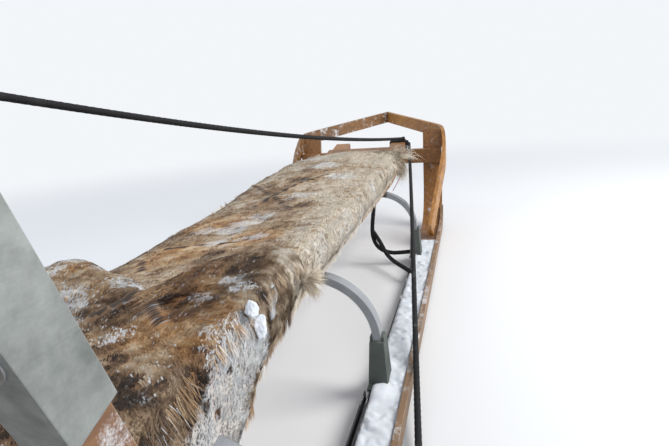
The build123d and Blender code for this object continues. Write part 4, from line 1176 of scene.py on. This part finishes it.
def boltShape(place, axis):
    # profile turned about the axis: washer, then a head whose radius is divided by cos of the angle from
    # the nearest flat's middle, as a hexagon's is; a row is washer radius, height and head radius, as shares
    profile = np.array([(0, 0, 0), (1, 0, 0), (1, 1, 0), (0, 1, 1), (0, 2, 1), (0, 2.15, 0.84), (0, 2.15, 0)])
    washer, rise, head = profile.T[..., None]
    angle = np.linspace(0, 2 * math.pi, bolts["sides"], endpoint=False)[None]
    hexed = 1 / np.cos((angle + math.pi / 6) % (math.pi / 3) - math.pi / 6)
    radius = washer * bolts["washer"] + head * bolts["head"] * hexed
    radius[[0, -1]] = bolts["pole"]
    step = np.clip(rise, 0, 1) * bolts["washerThick"] + np.clip(rise - 1, 0, 2) * bolts["headTall"]
    axis = unit(axis)
    side = unit(np.cross(axis, [1, 0, 0] if abs(axis[0]) < 0.8 else [0, 1, 0]))
    points = (place + step[..., None] * axis + (radius * np.cos(angle))[..., None] * side
              + (radius * np.sin(angle))[..., None] * np.cross(axis, side))
    faces = gridFaces(*radius.shape, True)[:, ::-1]
    return points.reshape(-1, 3), [faces], np.zeros((radius.size, 2))


def addBolts():
    feet = [(station + d, y, bolts["footZ"], (0, 0, 1)) for station, y in bolts["feet"]
            for d in (-bolts["apart"], bolts["apart"])]
    pieces = []
    for station, y, z, (ax, ay, az) in feet + bolts["places"]:
        for sign in (-1, 1):
            pieces.append(boltShape(spot(station, sign * y, z), vectors(float(ax), -sign * ay, az)))
    turnedOut(makeMesh("bolts", *joined(pieces)[:2], finishes["steel"], "brake_metal", flat=True))


addBolts()


ropes = {"railRise": math.radians(10.93), "lashingTurns": 3, "lashingRadius": 0.0046, "lashingSteps": 150,
         "railHalf": (0.035, 0.017), "corner": 0.30, "pitch": 0.008836,
         "handRadius": 0.007, "handStart": (-0.01147, -0.165, 0.4261), "handEnd": (-2.4807, 0.300, 0.802),
         "sag": 0.046, "handSteps": 420,
         # knots: station, y, z, size
         "knots": [(0.002, -0.183, 0.404, 0.00352), (-0.008, -0.168, 0.424, 0.00288)],
         "knotRadius": 0.0052, "knotSteps": 90, "knotSides": 10}


def addRope(name, shape, node):
    points, faces, uv = shape
    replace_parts(makeMesh(name, points, faces, finishes["rope"], "black_rope", uv), node)


def addRopes():
    # lashing: a helix of superellipse turns round the rail's front end, on the rail's slope
    c, s = math.cos(ropes["railRise"]), math.sin(ropes["railRise"])
    along, up = vectors(c, 0, s), vectors(-s, 0, c)
    t = np.linspace(0, 1, ropes["lashingSteps"])[:, None]
    turn = t * ropes["lashingTurns"] * 2 * math.pi
    wide, high = ((half + ropes["lashingRadius"]) * signedPower(wave(turn), ropes["corner"])
                  for half, wave in zip(ropes["railHalf"], (np.cos, np.sin)))
    reach = (0.5 - t) * ropes["pitch"] * ropes["lashingTurns"]
    middle = np.array(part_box("nose_lashing")).mean(0)
    line = middle + along * reach + np.array([0, 1, 0]) * wide + up * high
    pieces = [tube(line, ropes["lashingRadius"])]
    # knots: the closed line (sin t + 2 sin 2t, -sin 3t, cos t - 2 cos 2t)
    k = np.linspace(0, 2 * math.pi, ropes["knotSteps"])
    knot = vectors(np.sin(k) + 2 * np.sin(2 * k), -np.sin(3 * k), np.cos(k) - 2 * np.cos(2 * k))
    for station, y, z, size in ropes["knots"]:
        pieces.append(tube(knot * size + spot(station, y, z), ropes["knotRadius"], ropes["knotSides"]))
    addRope("noseLashing", joined(pieces), "nose_lashing")
    # hand rope: a shallow curve (1-t)^2 a + 2t(1-t) m + t^2 b between its two ends
    a, b = np.array(spot(*ropes["handStart"])), np.array(spot(*ropes["handEnd"]))
    m = (a + b) / 2 - [0, 0, 2 * ropes["sag"]]
    t = np.linspace(0, 1, ropes["handSteps"])[:, None]
    addRope("handRope", tube((1 - t) ** 2 * a + 2 * t * (1 - t) * m + t ** 2 * b, ropes["handRadius"]),
            "hand_rope")


addRopes()


springs = {"turns": 8, "turnSteps": 20, "radius": 0.0093, "wire": 0.0014, "sides": 8,
           "ends": (0.1242, 0.1518), "z": 0.096, "station": -2.63868}


def addSprings():
    # (r cos a, y, r sin a), y rising with the turns
    y = np.linspace(*springs["ends"], springs["turns"] * springs["turnSteps"] + 1)
    turn = np.linspace(0, springs["turns"] * 2 * math.pi, len(y))
    pieces = []
    for sign in (-1, 1):
        line = vectors(tipX + springs["station"] + springs["radius"] * np.cos(turn), sign * y,
                       springs["z"] + springs["radius"] * np.sin(turn))
        pieces.append(tube(line, springs["wire"], springs["sides"], strands=0))
    piece = makeMesh("brakeSprings", *joined(pieces)[:2], finishes["steel"], "brake_metal")
    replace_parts(piece, "brake_springs")


addSprings()
print("trim done")
